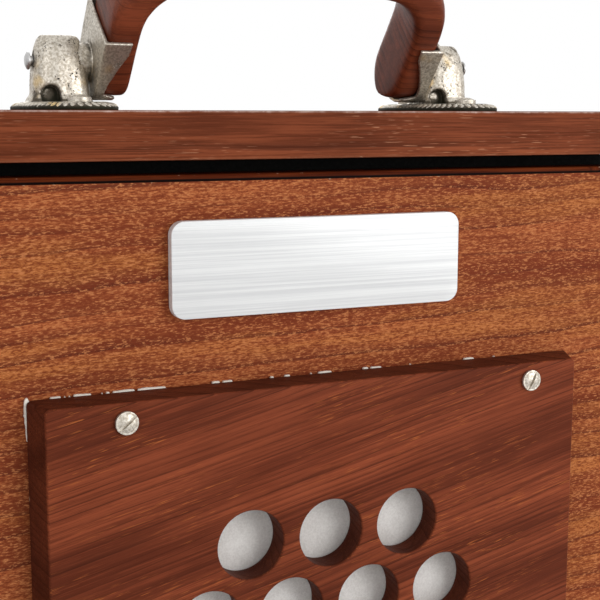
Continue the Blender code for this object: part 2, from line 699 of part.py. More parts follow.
def make_valve_board():
    """Raised board with the air inlet holes; its edges slope in towards its face."""
    middle = (VALVE_SHIFT, VALVE_MIDDLE)
    half_width, half_height = VALVE_WIDTH / 2, VALVE_HEIGHT / 2
    back = rounded_rectangle(half_width, half_height, VALVE_CORNER, middle)
    face = cushioned_rings(middle, half_width - VALVE_SIDE_SLOPE, half_height - VALVE_END_SLOPE,
                           VALVE_CORNER, VALVE_ARRIS, VALVE_BACK, VALVE_FRONT)
    bm = bmesh.new()
    add_rings(bm, [along("Y", VALVE_BACK, back)] + face[1:])
    board = add_object("valve_board", bm, DARK_REDWOOD, 40)
    holes = bmesh.new()
    for place in hole_places():
        add_rod(holes, "Y", VALVE_FRONT - VALVE_THICKNESS, VALVE_BACK + VALVE_THICKNESS,
                HOLE_RADIUS, place, 22)
    for place in valve_screw_places():
        add_rod(holes, "Y", VALVE_FRONT - VALVE_THICKNESS, VALVE_BACK + VALVE_THICKNESS,
                SHANK_RADIUS + SEAT, place, 10)
    cut(board, holes)


def make_suede():
    """Suede gasket round the valve board's back, and the inlet flap behind its holes."""
    half_width = VALVE_WIDTH / 2 + GASKET_SHOW
    half_height = VALVE_HEIGHT / 2 + GASKET_SHOW
    bm = bmesh.new()
    outline = rounded_rectangle(half_width, half_height, VALVE_CORNER,
                                (VALVE_SHIFT, VALVE_MIDDLE))
    add_rings(bm, [along("Y", SUEDE_BACK, outline), along("Y", SUEDE_FRONT, outline)])
    gasket = add_object("valve_gasket", bm, SUEDE)
    opening = bmesh.new()
    add_block(opening, (-INLET_HALF_WIDTH, SUEDE_FRONT - VALVE_THICKNESS,
                        VALVE_MIDDLE - INLET_HALF_HEIGHT),
              (INLET_HALF_WIDTH, SUEDE_BACK + VALVE_THICKNESS, VALVE_MIDDLE + INLET_HALF_HEIGHT))
    for x, z in valve_screw_places():
        add_rod(opening, "Y", SUEDE_FRONT - VALVE_THICKNESS, SUEDE_BACK + VALVE_THICKNESS,
                SHANK_RADIUS + SEAT, (x, z), 10)
    cut(gasket, opening)
    block("inlet_flap", (-FLAP_HALF_WIDTH, SUEDE_FRONT, VALVE_MIDDLE - FLAP_HALF_HEIGHT),
          (FLAP_HALF_WIDTH, SUEDE_BACK, VALVE_MIDDLE + FLAP_HALF_HEIGHT), SUEDE)


def make_screw(name, axis, place, tail, seat, out, radius, height, angle):
    """A slotted screw from its tail to its seat; out is the way its head faces, 1 or -1."""
    steps = [(tail, SHANK_RADIUS), (seat, SHANK_RADIUS)]
    steps += [(seat + out * h, r) for h, r in pan_head(radius, height)]
    bm = bmesh.new()
    add_turned(bm, axis, place, steps, 18)
    screw = add_object(name, bm, NICKEL, 40)
    slot = bmesh.new()
    add_slot(slot, axis, place, seat + out * height, angle, radius)
    cut(screw, slot)


def make_valve_screws():
    """Slotted screws through the valve board into the panel."""
    for index, place in enumerate(valve_screw_places()):
        make_screw("valve_screw_%d" % (index + 1), "Y", place, PANEL_REAR - SEAT,
                   VALVE_FRONT - SEAT, -1, SCREW_HEAD_RADIUS, SCREW_HEAD_HEIGHT,
                   slot_angle(index))


def make_name_plate():
    """Bare metal plate near the panel's top edge."""
    middle = (0.0, PANEL_TOP - PLATE_TOP_MARGIN - PLATE_HEIGHT / 2)
    back = PANEL_FACE - SEAT
    bm = bmesh.new()
    add_rings(bm, cushioned_rings(middle, PLATE_WIDTH / 2, PLATE_HEIGHT / 2, PLATE_CORNER,
                                  PLATE_ARRIS, back, back - PLATE_THICKNESS, 2))
    add_object("name_plate", bm, PLATE_METAL, 40)


def make_hinge_rail():
    """Wooden rail at the case's foot that the pump board hinges on."""
    block("hinge_rail", (-HALF_WIDTH, PUMP_REAR + HINGE_GAP, PUMP_FOOT),
          (HALF_WIDTH, CASE_FRONT - SEAT, PUMP_FOOT + HINGE_RAIL_HEIGHT), REDWOOD, WALL_ARRIS)


def knuckle_outline(near, far, top, steps=14):
    """A knuckle with its web: round the barrel, then up both sides of the leaf, as (y, z)."""
    start = math.acos(near / KNUCKLE_RADIUS)
    end = math.acos(far / KNUCKLE_RADIUS) + 2 * math.pi
    points = [(HINGE_AXIS_Y + near, top)]
    for k in range(steps + 1):
        angle = start + (end - start) * k / steps
        points.append((HINGE_AXIS_Y + KNUCKLE_RADIUS * math.cos(angle),
                       HINGE_AXIS_Z + KNUCKLE_RADIUS * math.sin(angle)))
    points.append((HINGE_AXIS_Y + far, top))
    return points


def make_hinge(word, side):
    """One butt hinge: a leaf on the rail, a leaf on the pump frame, and a pin."""
    step = HINGE_LENGTH / HINGE_KNUCKLES
    axis = (HINGE_AXIS_Y, HINGE_AXIS_Z)
    shoulder = HINGE_AXIS_Z + KNUCKLE_RADIUS + SEAT
    top = PUMP_FOOT + HINGE_LEAF_HEIGHT
    inner = SEAT / 2
    outer = inner + HINGE_LEAF
    start = side * (HALF_WIDTH - HINGE_END_MARGIN - HINGE_LENGTH / 2) - HINGE_LENGTH / 2
    end = start + HINGE_LENGTH
    for kind, parity, near, far in (("fixed", 0, inner, outer), ("moving", 1, -outer, -inner)):
        leaf = block("hinge_leaf_%s_%s" % (kind, word), (start, HINGE_AXIS_Y + near, shoulder),
                     (end, HINGE_AXIS_Y + far, top), BRASS)
        outline = knuckle_outline(near, far, (shoulder + top) / 2)
        knuckles = bmesh.new()
        for k in range(parity, HINGE_KNUCKLES, 2):
            low = start + k * step + SEAT / 2
            high = start + (k + 1) * step - SEAT / 2
            add_rings(knuckles, [along("X", low, outline), along("X", high, outline)])
        join(leaf, knuckles)
        bore = bmesh.new()
        add_rod(bore, "X", start - step, end + step, HINGE_PIN_RADIUS + RUNNING, axis, 12)
        cut(leaf, bore)
    pin = bmesh.new()
    add_rod(pin, "X", start, end, HINGE_PIN_RADIUS, axis, 12)
    add_object("hinge_pin_" + word, pin, STEEL, 40)


def make_reservoir():
    """Reservoir board on its folded bellows, and two springs that press it to the reed board."""
    front = RESERVOIR_REAR - RESERVOIR_BOARD
    block("reservoir_board", (-RESERVOIR_HALF, front, RESERVOIR_FOOT),
          (RESERVOIR_HALF, RESERVOIR_REAR, RESERVOIR_TOP), PLYWOOD)
    half_width = RESERVOIR_HALF - RESERVOIR_INSET
    half_height = (RESERVOIR_TOP - RESERVOIR_FOOT) / 2 - RESERVOIR_INSET
    middle = (0.0, (RESERVOIR_TOP + RESERVOIR_FOOT) / 2)
    bm = bmesh.new()
    add_closed_rings(bm, pleated_rings(middle, half_width, half_height, RESERVOIR_REAR + SEAT,
                                       REED_INNER - SEAT, RESERVOIR_FOLD_COUNT, RESERVOIR_FOLD_DEPTH,
                                       RESERVOIR_EDGE, BELLOWS_FLANGE))
    add_object("reservoir_bellows", bm, LEATHER)
    make_spring("left", -SPRING_SPREAD / 2, front)
    make_spring("right", SPRING_SPREAD / 2, front)


def spring_route(x, board_front):
    """A V spring: up one arm from the partition, round the coil and up the other arm."""
    near = PARTITION_BACK + SEAT + SPRING_WIRE
    far = board_front - SEAT - SPRING_WIRE
    middle = Vector((x, (near + far) / 2, SPRING_FOOT))
    pitch = SPRING_WIRE * 2 + SEAT * 2
    points = [Vector((x, near, SPRING_FOOT + SPRING_ARM))]
    steps = 12 * SPRING_TURNS + 6
    for k in range(steps + 1):
        angle = math.pi + 2 * math.pi * k / 12
        side = k / 12 * pitch
        points.append(middle + Vector((side, SPRING_COIL * math.cos(angle),
                                       SPRING_COIL * math.sin(angle))))
    last = points[-1]
    points.append(Vector((last.x, far, SPRING_FOOT + SPRING_ARM)))
    return points


def make_spring(word, x, board_front):
    """One wire spring, as a curve with a round bevel."""
    name = "reservoir_spring_" + word
    curve = bpy.data.curves.new(name, "CURVE")
    curve.dimensions = "3D"
    curve.bevel_depth = SPRING_WIRE
    curve.bevel_resolution = 1
    curve.use_fill_caps = True
    route = spring_route(x, board_front)
    spline = curve.splines.new("POLY")
    spline.points.add(len(route) - 1)
    for point, place in zip(spline.points, route):
        point.co = (*place, 1.0)
    made = bpy.data.objects.new(name, curve)
    curve.materials.append(material(name, STEEL))
    bpy.context.scene.collection.objects.link(made)


def bracket_screw_places():
    """Screw centres in front of and behind each cowl, as (x, y)."""
    reach = BRACKET_SCREW_SPREAD / 2
    return [(side * BRACKET_MIDDLE, PIVOT_Y + end * reach) for side in (-1, 1) for end in (-1, 1)]


def add_cowl(bm, middle_x, base, top):
    """A rounded cast hood on a flared foot, standing on the plate."""
    half_x, half_y = COWL_LENGTH / 2, COWL_WIDTH / 2
    foot = ((base, COWL_FOOT), (base + COWL_FOOT_RISE, COWL_FOOT), (base + COWL_SHOULDER, 0.0))
    rings = []
    for z, flare in foot:
        rings.append(along("Z", z, superellipse(half_x + flare, half_y + flare, COWL_SQUARENESS,
                                                COWL_SIDES, (middle_x, PIVOT_Y))))
    shoulder = base + COWL_SHOULDER
    for k in range(1, COWL_STEPS):
        drop = math.sin(math.radians(90) * k / COWL_STEPS)
        shrink = (1 - drop ** COWL_DOME) ** (1 / COWL_DOME)
        narrow = COWL_RIDGE + (1 - COWL_RIDGE) * shrink
        outline = superellipse(half_x * narrow, half_y * shrink, COWL_SQUARENESS - drop,
                               COWL_SIDES, (middle_x, PIVOT_Y))
        rings.append(along("Z", shoulder + drop * (top - shoulder), outline))
    add_rings(bm, rings)


def add_recess(bm, middle_x, end):
    """An arched pocket in the hood's front (end -1) or back (end 1)."""
    radius = RECESS_WIDTH / 2
    foot = BRACKET_FACE - RECESS_FLOOR
    spring = BRACKET_FACE + RECESS_HEIGHT - radius
    outline = [(middle_x - radius, foot), (middle_x + radius, foot)]
    for k in range(ARCH_STEPS + 1):
        angle = math.radians(180) * k / ARCH_STEPS
        outline.append((middle_x + radius * math.cos(angle), spring + radius * math.sin(angle)))
    mouth = PIVOT_Y + end * (COWL_WIDTH / 2 + COWL_FOOT * 2)
    floor = PIVOT_Y + end * (COWL_WIDTH / 2 - RECESS_DEPTH)
    add_rings(bm, [along("Y", mouth, outline), along("Y", floor, outline)])


def add_bracket_trim(bm, side, top):
    """What is taken off a bracket after its sockets: the hood's inner end, and screw holes."""
    edges = sorted((side * (COWL_INNER - COWL_FOOT * 3), side * COWL_INNER))
    add_block(bm, (edges[0], PIVOT_Y - COWL_WIDTH, BRACKET_FACE),
              (edges[1], PIVOT_Y + COWL_WIDTH, top + COWL_FOOT))
    for x, y in bracket_screw_places():
        if x * side > 0:
            add_rod(bm, "Z", CASE_HEIGHT - BRACKET_EDGE, BRACKET_FACE + BRACKET_EDGE,
                    SHANK_RADIUS + SEAT, (x, y), 10)


def make_bracket(name, side):
    """A cast bracket: oval plate with a sloping rim, and a hood with a socket for the lug.

    Both brackets are one casting turned half round, so each hood has its recess to the left of
    the middle seen from the front, and to the right seen from behind it.
    """
    middle = side * BRACKET_MIDDLE
    base = CASE_HEIGHT + SEAT
    half_x, half_y = BRACKET_PLATE_WIDTH / 2, BRACKET_PLATE_LENGTH / 2
    steps = ((0.0, base), (0.0, base + BRACKET_EDGE), (BRACKET_RIM, BRACKET_FACE))
    bm = bmesh.new()
    add_rings(bm, [along("Z", z, superellipse(half_x - inset, half_y - inset, BRACKET_ROUNDNESS,
                                              PLATE_SIDES, (middle, PIVOT_Y)))
                   for inset, z in steps])
    bracket = add_object(name, bm, NICKEL, 40)
    top = PIVOT_Z + SOCKET_RADIUS + COWL_WALL
    cowl_middle = side * (COWL_INNER + COWL_LENGTH / 2)
    cowl = bmesh.new()
    add_cowl(cowl, cowl_middle, base + BRACKET_PLATE_THICKNESS / 2, top)
    join(bracket, cowl)
    tools = bmesh.new()
    mouth = side * (COWL_INNER - COWL_FOOT * 2)
    floor = side * (COWL_INNER + LUG_LENGTH + SEAT)
    outer = side * (COWL_INNER + COWL_LENGTH + COWL_FOOT * 2)
    pin_hole = HANDLE_PIN_RADIUS + SEAT
    add_turned(tools, "X", (PIVOT_Y, PIVOT_Z), [(mouth, SOCKET_RADIUS), (floor, SOCKET_RADIUS),
                                                (floor, pin_hole), (outer, pin_hole)], 20)
    for end in (-1, 1):
        add_recess(tools, cowl_middle + end * RECESS_OFFSET, end)
    cut(bracket, tools)
    trim = bmesh.new()
    add_bracket_trim(trim, side, top)
    apply_boolean(bracket, cutter(name + "_trim", trim), "DIFFERENCE")


def make_bracket_screws():
    """Slotted screws through the bracket plates, in front of and behind each hood."""
    seat = BRACKET_FACE + SEAT
    for index, place in enumerate(bracket_screw_places()):
        make_screw("bracket_screw_%d" % (index + 1), "Z", place, CASE_HEIGHT - PILOT_DEPTH + SEAT,
                   seat, 1, BRACKET_SCREW_RADIUS, BRACKET_SCREW_HEIGHT, slot_angle(2 * index))


def make_handle_pin(name, side):
    """The pin that a ferrule's lug turns on, headed at the cowl's outer face."""
    tip = side * (COWL_INNER - COWL_INNER_GAP / 2)
    head = side * (COWL_INNER + COWL_LENGTH + SEAT)
    crown = side * HANDLE_PIN_CROWN
    profile = [(tip, HANDLE_PIN_RADIUS), (head, HANDLE_PIN_RADIUS), (head, HANDLE_PIN_HEAD),
               (head + crown / 2, HANDLE_PIN_HEAD), (head + crown, HANDLE_PIN_HEAD * 0.6)]
    pin = bmesh.new()
    add_turned(pin, "X", (PIVOT_Y, PIVOT_Z), profile, 16)
    add_object(name, pin, STEEL, 40)


def grip_line():
    """The bow's centre line from the left leg's end to the right's: (x, rise, tangent angle)."""
    leg = GRIP_LEG_INNER + GRIP_LEG_THICKNESS / 2
    upright = math.radians(90)
    stations = []
    for k in range(CORNER_STEPS + 1):
        angle = GRIP_END_ANGLE + (upright - GRIP_END_ANGLE) * k / CORNER_STEPS
        stations.append((-leg, -GRIP_LEG_RADIUS * math.cos(angle), upright))
    shoulder = GRIP_RISE - GRIP_CORNER
    stations.append((-leg, shoulder / 2, upright))
    for k in range(CORNER_STEPS + 1):
        angle = 2 * upright - upright * k / CORNER_STEPS
        stations.append((-leg + GRIP_CORNER + GRIP_CORNER * math.cos(angle),
                         shoulder + GRIP_CORNER * math.sin(angle), angle - upright))
    run = leg - GRIP_CORNER
    for k in range(1, GRIP_SPAN_STEPS + 1):
        share = k / GRIP_SPAN_STEPS
        stations.append((run * (share - 1), GRIP_RISE + GRIP_ARCH * math.sin(upright * share), 0.0))
    mirrored = [(-x, rise, -angle) for x, rise, angle in reversed(stations[:-1])]
    return stations + mirrored


def grip_section(station):
    """The bow's cross-section at a station, upright, about the pivot axis.

    It is nearly square in the legs, and thicker and rounder where the hand holds it.
    """
    x, rise, angle = station
    share = min(max((rise - FERRULE_HEIGHT) / (GRIP_RISE - FERRULE_HEIGHT), 0.0), 1.0)
    thickness = GRIP_LEG_THICKNESS + (GRIP_THICKNESS - GRIP_LEG_THICKNESS) * share
    half_width = GRIP_LEG_RADIUS
    if rise < 0:
        half_width = math.sqrt(max(GRIP_LEG_RADIUS ** 2 - rise ** 2, 0.0))
    power = LEG_SQUARENESS + (GRIP_SQUARENESS - LEG_SQUARENESS) * share
    across = Vector((-math.sin(angle), 0.0, math.cos(angle)))
    return [Vector((x, 0.0, rise)) + across * u + Vector((0.0, v, 0.0))
            for u, v in superellipse(thickness / 2, half_width, power, GRIP_SIDES)]


def lean(bm):
    """Lean a part of the handle forward about the pivot axis, from upright at the origin."""
    turn = Matrix.Rotation(HANDLE_LEAN, 4, "X")
    place = Matrix.Translation((0.0, PIVOT_Y, PIVOT_Z))
    bmesh.ops.transform(bm, matrix=place @ turn, verts=bm.verts)


def make_grip():
    """Wooden bow, leaning forward."""
    bm = bmesh.new()
    add_rings(bm, [grip_section(station) for station in grip_line()])
    lean(bm)
    add_object("handle_grip", bm, DARK_REDWOOD, 50)


def leg_body(side, grow, low, high):
    """A stretch of leg with its round end, grown by a margin, for the ferrule's faces."""
    radius = GRIP_LEG_RADIUS + grow
    inner = side * (GRIP_LEG_INNER - grow)
    outer = side * (LEG_OUTER + grow)
    outline = [(-radius, high), (-radius, max(low, 0.0))]
    steps = 12
    for k in range(1, steps):
        angle = math.radians(180 + 180 * k / steps)
        outline.append((radius * math.cos(angle), radius * math.sin(angle)))
    outline += [(radius, max(low, 0.0)), (radius, high)]
    bm = bmesh.new()
    add_rings(bm, [along("X", inner, outline), along("X", outer, outline)])
    return bm


def make_ferrule(name, side):
    """Metal claw round the outside of a leg, with the lug that turns in the cowl."""
    wall = SEAT + FERRULE_WALL
    shell = leg_body(side, wall, 0.0, FERRULE_HEIGHT)
    lean(shell)
    ferrule = add_object(name, shell, NICKEL)
    leg = leg_body(side, SEAT, 0.0, FERRULE_HEIGHT * 2)
    lean(leg)
    cut(ferrule, leg)
    span = GRIP_LEG_THICKNESS
    outline = [(side * (GRIP_LEG_INNER + u * span), v * GRIP_LEG_RADIUS) for u, v in CLAW_EDGE]
    trim = bmesh.new()
    reach = GRIP_LEG_RADIUS * 2
    add_rings(trim, [along("Y", -reach, outline), along("Y", reach, outline)])
    lean(trim)
    apply_boolean(ferrule, cutter(name + "_trim", trim), "DIFFERENCE")
    lug = bmesh.new()
    start = side * (FERRULE_OUTER - FERRULE_WALL / 2)
    end = side * (COWL_INNER + LUG_LENGTH - SEAT)
    add_rod(lug, "X", start, end, LUG_RADIUS, (PIVOT_Y, PIVOT_Z), 20)
    join(ferrule, lug)
    bore = bmesh.new()
    add_rod(bore, "X", side * FERRULE_OUTER, side * (COWL_INNER + LUG_LENGTH * 2),
            HANDLE_PIN_RADIUS + RUNNING, (PIVOT_Y, PIVOT_Z), 12)
    apply_boolean(ferrule, cutter(name + "_bore", bore), "DIFFERENCE")


def make_handle():
    """Brackets, pins, ferrules and the wooden bow."""
    for word, side in (("left", -1), ("right", 1)):
        make_bracket("bracket_" + word, side)
        make_ferrule("ferrule_" + word, side)
        make_handle_pin("handle_pin_" + word, side)
    make_bracket_screws()
    make_grip()


def build():
    """Make every piece of the shruti box."""
    clear_scene()
    make_planks()
    make_walls()
    make_partition()
    make_reed_board()
    make_reed_plate("reed_plate_left", -1)
    make_reed_plate("reed_plate_right", 1)
    make_levers()
    make_hinge_rail()
    make_hinge("left", -1)
    make_hinge("right", 1)
    make_pump_bellows()
    make_pump_frame()
    make_front_panel()
    make_valve_board()
    make_suede()
    make_valve_screws()
    make_name_plate()
    make_reservoir()
    make_handle()
    pieces = [item for item in bpy.data.objects if not item.hide_render]
    print("pieces:", len(pieces))


build()
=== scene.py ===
# %% [markdown]
# Dressing a shruti box
#
# A shruti box is a drone instrument: a flat wooden case with a pump board on its front, a raised
# valve board with air holes, thirteen reeds behind levers on its rear, and a folding bow handle.
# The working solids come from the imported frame. This file gives them their woods, metals, suede
# and cloth, and makes again, in finer form, what the eye stops at. Lengths are in metres.

# %% Load the frame
import json
import math

import bmesh
import bpy
from mathutils import Matrix, Vector, noise
from mathutils.bvhtree import BVHTree


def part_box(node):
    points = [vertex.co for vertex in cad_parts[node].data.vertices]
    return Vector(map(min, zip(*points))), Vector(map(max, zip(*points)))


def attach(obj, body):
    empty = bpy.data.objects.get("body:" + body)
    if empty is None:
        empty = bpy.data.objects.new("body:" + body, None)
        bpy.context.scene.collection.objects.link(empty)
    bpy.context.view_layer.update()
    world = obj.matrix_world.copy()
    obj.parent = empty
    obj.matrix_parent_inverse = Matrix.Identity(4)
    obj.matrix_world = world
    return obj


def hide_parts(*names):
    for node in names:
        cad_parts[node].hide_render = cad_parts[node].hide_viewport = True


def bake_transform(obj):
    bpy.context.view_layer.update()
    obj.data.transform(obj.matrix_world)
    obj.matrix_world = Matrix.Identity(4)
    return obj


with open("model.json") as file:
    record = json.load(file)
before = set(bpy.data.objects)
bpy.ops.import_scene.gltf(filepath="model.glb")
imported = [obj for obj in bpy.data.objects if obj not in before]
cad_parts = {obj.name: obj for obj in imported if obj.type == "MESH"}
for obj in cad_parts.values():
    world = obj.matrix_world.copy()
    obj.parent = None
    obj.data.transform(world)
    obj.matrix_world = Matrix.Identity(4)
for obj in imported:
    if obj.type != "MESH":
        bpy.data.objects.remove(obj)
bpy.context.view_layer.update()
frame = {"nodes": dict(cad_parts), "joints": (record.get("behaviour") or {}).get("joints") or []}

print("pieces in the frame:", len(frame["nodes"]))

# %% [markdown]
# Places and joints
#
# A fine piece sits where the plain one is, so its place is read from the frame and never typed.
# Helpers here give a node's corners and a joint's axis point.

# %% Places read from the frame
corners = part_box                 # a node's lowest and highest corner
SIDES = ("left", "right")
QUARTER = math.radians(90)


def joint_place(name):
    """The point on a joint's axis."""
    return Vector(next(j["pos_m"] for j in frame["joints"] if j["name"] == name))


PANEL_LOW, PANEL_HIGH = corners("front_panel")
BOARD_LOW, BOARD_HIGH = corners("valve_board")
PLANK_LOW, PLANK_HIGH = corners("top_plank")
REED_LOW, REED_HIGH = corners("reed_board")
print("panel", [round(v * 1000, 1) for v in (*PANEL_LOW, *PANEL_HIGH)], "mm")

# %% [markdown]
# Camera
#
# The picture was taken from close by, a little to the left of the box and level with its top.
# Its two sets of parallel edges meet at vanishing points, which give the turn of the camera, and
# the half-inch plank gives the distance. The camera is set from those three directions.

# %% Camera
CAMERA_PLACE = Vector((-0.1451, -0.3369, 0.3112))
CAMERA_RIGHT = Vector((0.90706, -0.42100, 0.00184))
CAMERA_UP = Vector((0.06091, 0.13556, 0.98890))

camera_data = bpy.data.cameras.new("camera")
camera_data.lens = 74.4
camera_data.sensor_width = 36.0
camera_data.clip_start = 0.01
camera = bpy.data.objects.new("camera", camera_data)
turn = Matrix((CAMERA_RIGHT, CAMERA_UP, CAMERA_RIGHT.cross(CAMERA_UP))).transposed().to_4x4()
camera.matrix_world = Matrix.Translation(CAMERA_PLACE) @ turn
bpy.context.scene.collection.objects.link(camera)
bpy.context.scene.camera = camera
print("camera at", [round(v, 3) for v in CAMERA_PLACE])

# %% [markdown]
# Trees of nodes
#
# Every finish and every repeated form below is a tree of nodes. Wiring them by hand is long to
# read, so a node's output is wrapped as a value that can be added and multiplied like a number.
# A wrapper round the tree adds nodes. It serves shader trees and geometry trees alike.


# %% Values with arithmetic
def both_ways(operation):
    """The methods for a value before an operator, and for one after it."""
    return (lambda value, other: value.tree.calc(operation, value, other),
            lambda value, other: value.tree.calc(operation, other, value))


class Value:
    """What a node puts out."""

    def __init__(self, tree, socket):
        self.tree, self.socket = tree, socket

    __add__, __radd__ = both_ways("ADD")
    __sub__, __rsub__ = both_ways("SUBTRACT")
    __mul__, __rmul__ = both_ways("MULTIPLY")
    __truediv__, __rtruediv__ = both_ways("DIVIDE")

    def step(self, low, high):
        """A smooth step from 0 at low to 1 at high."""
        return self.tree.out("ShaderNodeMapRange", {0: self, 1: low, 2: high},
                             interpolation_type="SMOOTHSTEP")


print("value helper ready")


# %% A short way to write node trees
class Tree:
    """A node tree with short ways to add and join nodes."""

    def __init__(self, tree):
        self.tree = tree

    def set(self, socket, value):
        """Join a socket to a value, or write a plain one."""
        if isinstance(value, Value):
            self.tree.links.new(value.socket, socket)
        else:
            socket.default_value = (*value, 1.0) if socket.type == "RGBA" else value

    def add(self, kind, inputs=None, **settings):
        """Add a node; inputs are given by socket name or number."""
        node = self.tree.nodes.new(kind)
        for key, value in settings.items():
            setattr(node, key, value)
        for key, value in (inputs or {}).items():
            self.set(node.inputs[key], value)
        return node

    def out(self, kind, inputs=None, which=0, **settings):
        """Add a node and take one of its outputs."""
        return Value(self, self.add(kind, inputs, **settings).outputs[which])

    def outs(self, kind, inputs=None, **settings):
        """Add a node and take all its outputs, by name."""
        node = self.add(kind, inputs, **settings)
        return {socket.name: Value(self, socket) for socket in node.outputs}

    def calc(self, operation, a, b=0.0, clamp=False):
        """One step of arithmetic."""
        return self.out("ShaderNodeMath", {0: a, 1: b}, operation=operation, use_clamp=clamp)

    def vector(self, operation, a, b=(0.0, 0.0, 0.0)):
        """One step of vector arithmetic."""
        return self.out("ShaderNodeVectorMath", {0: a, 1: b}, operation=operation)

    def split(self, vector):
        """The three parts of a vector."""
        return list(self.outs("ShaderNodeSeparateXYZ", {0: vector}).values())

    def combine(self, x, y, z):
        """A vector from three parts."""
        return self.out("ShaderNodeCombineXYZ", {0: x, 1: y, 2: z})

    def mix(self, factor, a, b):
        """Mix two colours."""
        return self.out("ShaderNodeMix", {0: factor, 6: a, 7: b}, 2, data_type="RGBA")

    def mix_vectors(self, factor, a, b):
        """Mix two vectors."""
        return self.out("ShaderNodeMix", {0: factor, 4: a, 5: b}, 1, data_type="VECTOR")

    def noise(self, vector, scale, detail=2.0, roughness=0.5):
        """Soft noise from 0 to 1."""
        return self.out("ShaderNodeTexNoise", {"Vector": vector, "Scale": scale,
                                               "Detail": detail, "Roughness": roughness}, "Fac")

    def drawn(self, vector, scales, detail, roughness=0.5):
        """Noise drawn out along the axis of the least scale."""
        return self.noise(self.vector("MULTIPLY", vector, scales), 1.0, detail, roughness)

    def cells(self, vector, scale):
        """Distance to scattered points."""
        return self.out("ShaderNodeTexVoronoi", {"Vector": vector, "Scale": scale}, "Distance")

    def give(self, **values):
        """Say what a group puts out."""
        for label, value in values.items():
            self.set(self.result[label], value)


print("tree helper ready")

# %% New node groups
FLOAT, COLOUR, VECTOR = "NodeSocketFloat", "NodeSocketColor", "NodeSocketVector"
GEOMETRY, WHOLE, MATERIAL = "NodeSocketGeometry", "NodeSocketInt", "NodeSocketMaterial"


def new_group(name, kind, inputs, outputs, wrapper=Tree):
    """An empty group, and what comes into it by name.

    An input is written as its socket's type, or as a default that tells the type.
    """
    tree = bpy.data.node_groups.new(name, kind)
    for label, value in inputs.items():
        socket_type = {float: FLOAT, int: WHOLE, tuple: VECTOR}.get(type(value), value)
        socket = tree.interface.new_socket(label, in_out="INPUT", socket_type=socket_type)
        if socket_type != value:
            socket.default_value = value
    for label, socket_type in outputs.items():
        tree.interface.new_socket(label, in_out="OUTPUT", socket_type=socket_type)
    made = wrapper(tree)
    made.result = made.add("NodeGroupOutput").inputs
    return made, made.outs("NodeGroupInput")


print("kinds of socket: 6")

# %% [markdown]
# Wood grain
#
# Grain is the board's place in the tree. Growth rings are cylinders round the tree's heart, so
# the distance to a line gives long stripes on a face and curved arcs on the end, with no seam at
# the corner. Fibres are noise pulled out along the trunk, and flecks are the same noise, shorter
# and cut off high. One group makes all the woods here; each board gives it other values.

# %% The grain group
wood, given = new_group("wood grain", "ShaderNodeTree", {
    "Vector": VECTOR, "Heart": (0.0, 0.3, 0.3), "Ring Spacing": 0.002, "Ring Depth": 0.5,
    "Line": 0.5, "Bend": 0.004, "Fibre": 0.5, "Fleck": 0.3, "Speckle": 0.0, "Warm": 0.0,
    "Light": COLOUR, "Dark": COLOUR, "Ring Colour": COLOUR, "Fleck Colour": COLOUR,
    "Warm Colour": COLOUR}, {"Color": COLOUR, "Height": FLOAT, "Gloss": FLOAT})


def along(lengthwise, across, detail, roughness=0.55):
    """Noise drawn out along the grain."""
    return wood.drawn(given["Vector"], (lengthwise, across, across), detail, roughness)


sway = along(6.0, 17.0, 2.0) - 0.5 + (along(45.0, 260.0, 2.0) - 0.5) * 0.10
away = wood.split(wood.vector("SUBTRACT", given["Vector"], given["Heart"]))
radius = wood.calc("SQRT", away[1] * away[1] + away[2] * away[2]) + sway * given["Bend"]
rings = radius / given["Ring Spacing"]
years = wood.out("ShaderNodeTexNoise", {"W": rings, "Scale": 0.31, "Detail": 1.0}, "Fac",
                 noise_dimensions="1D")
phase = wood.calc("FRACT", rings + years * 1.6)
late = phase.step(0.25, 0.90) * phase.step(1.0, 0.92) * along(9.0, 70.0, 2.0).step(0.32, 0.62)
line = phase.step(0.80, 0.94) * phase.step(1.0, 0.95) * along(16.0, 110.0, 3.0).step(0.34, 0.56)
fibre = along(34.0, 1750.0, 4.0, 0.72)
fleck = along(170.0, 4000.0, 1.0).step(0.63, 0.73) * along(20.0, 90.0, 2.0).step(0.40, 0.62)
grit = along(800.0, 2900.0, 2.0, 0.65)

colour = wood.mix(along(11.0, 120.0, 3.0).step(0.30, 0.70), given["Light"], given["Dark"])
for cover, label in (
        (along(14.0, 95.0, 3.0).step(0.48, 0.66) * given["Warm"], "Warm Colour"),
        (fibre.step(0.49, 0.36) * given["Fibre"] * 0.45, "Light"),
        (fibre.step(0.46, 0.60) * given["Fibre"] * 0.8, "Dark"),
        (late * given["Ring Depth"], "Ring Colour"), (line * given["Line"], "Ring Colour"),
        (fleck * given["Fleck"], "Fleck Colour"),
        (grit.step(0.50, 0.62) * given["Speckle"], "Dark"),
        (grit.step(0.48, 0.34) * given["Speckle"], "Fleck Colour")):
    colour = wood.mix(cover, colour, given[label])
wood.give(Color=colour, Height=late * -0.6 + fibre * -0.8 + 1.4, Gloss=fibre * 0.5 + late * 0.5)
print("wood grain group:", len(wood.tree.nodes), "nodes")

# %% [markdown]
# Worn edges
#
# Varnish rubs thin on the arrises of a board first. On a squared board the distance to the
# nearest edge is the second largest of the three distances past its faces, which needs only the
# board's middle and half its size, so no ray tracing is wanted. Noise breaks the line up.

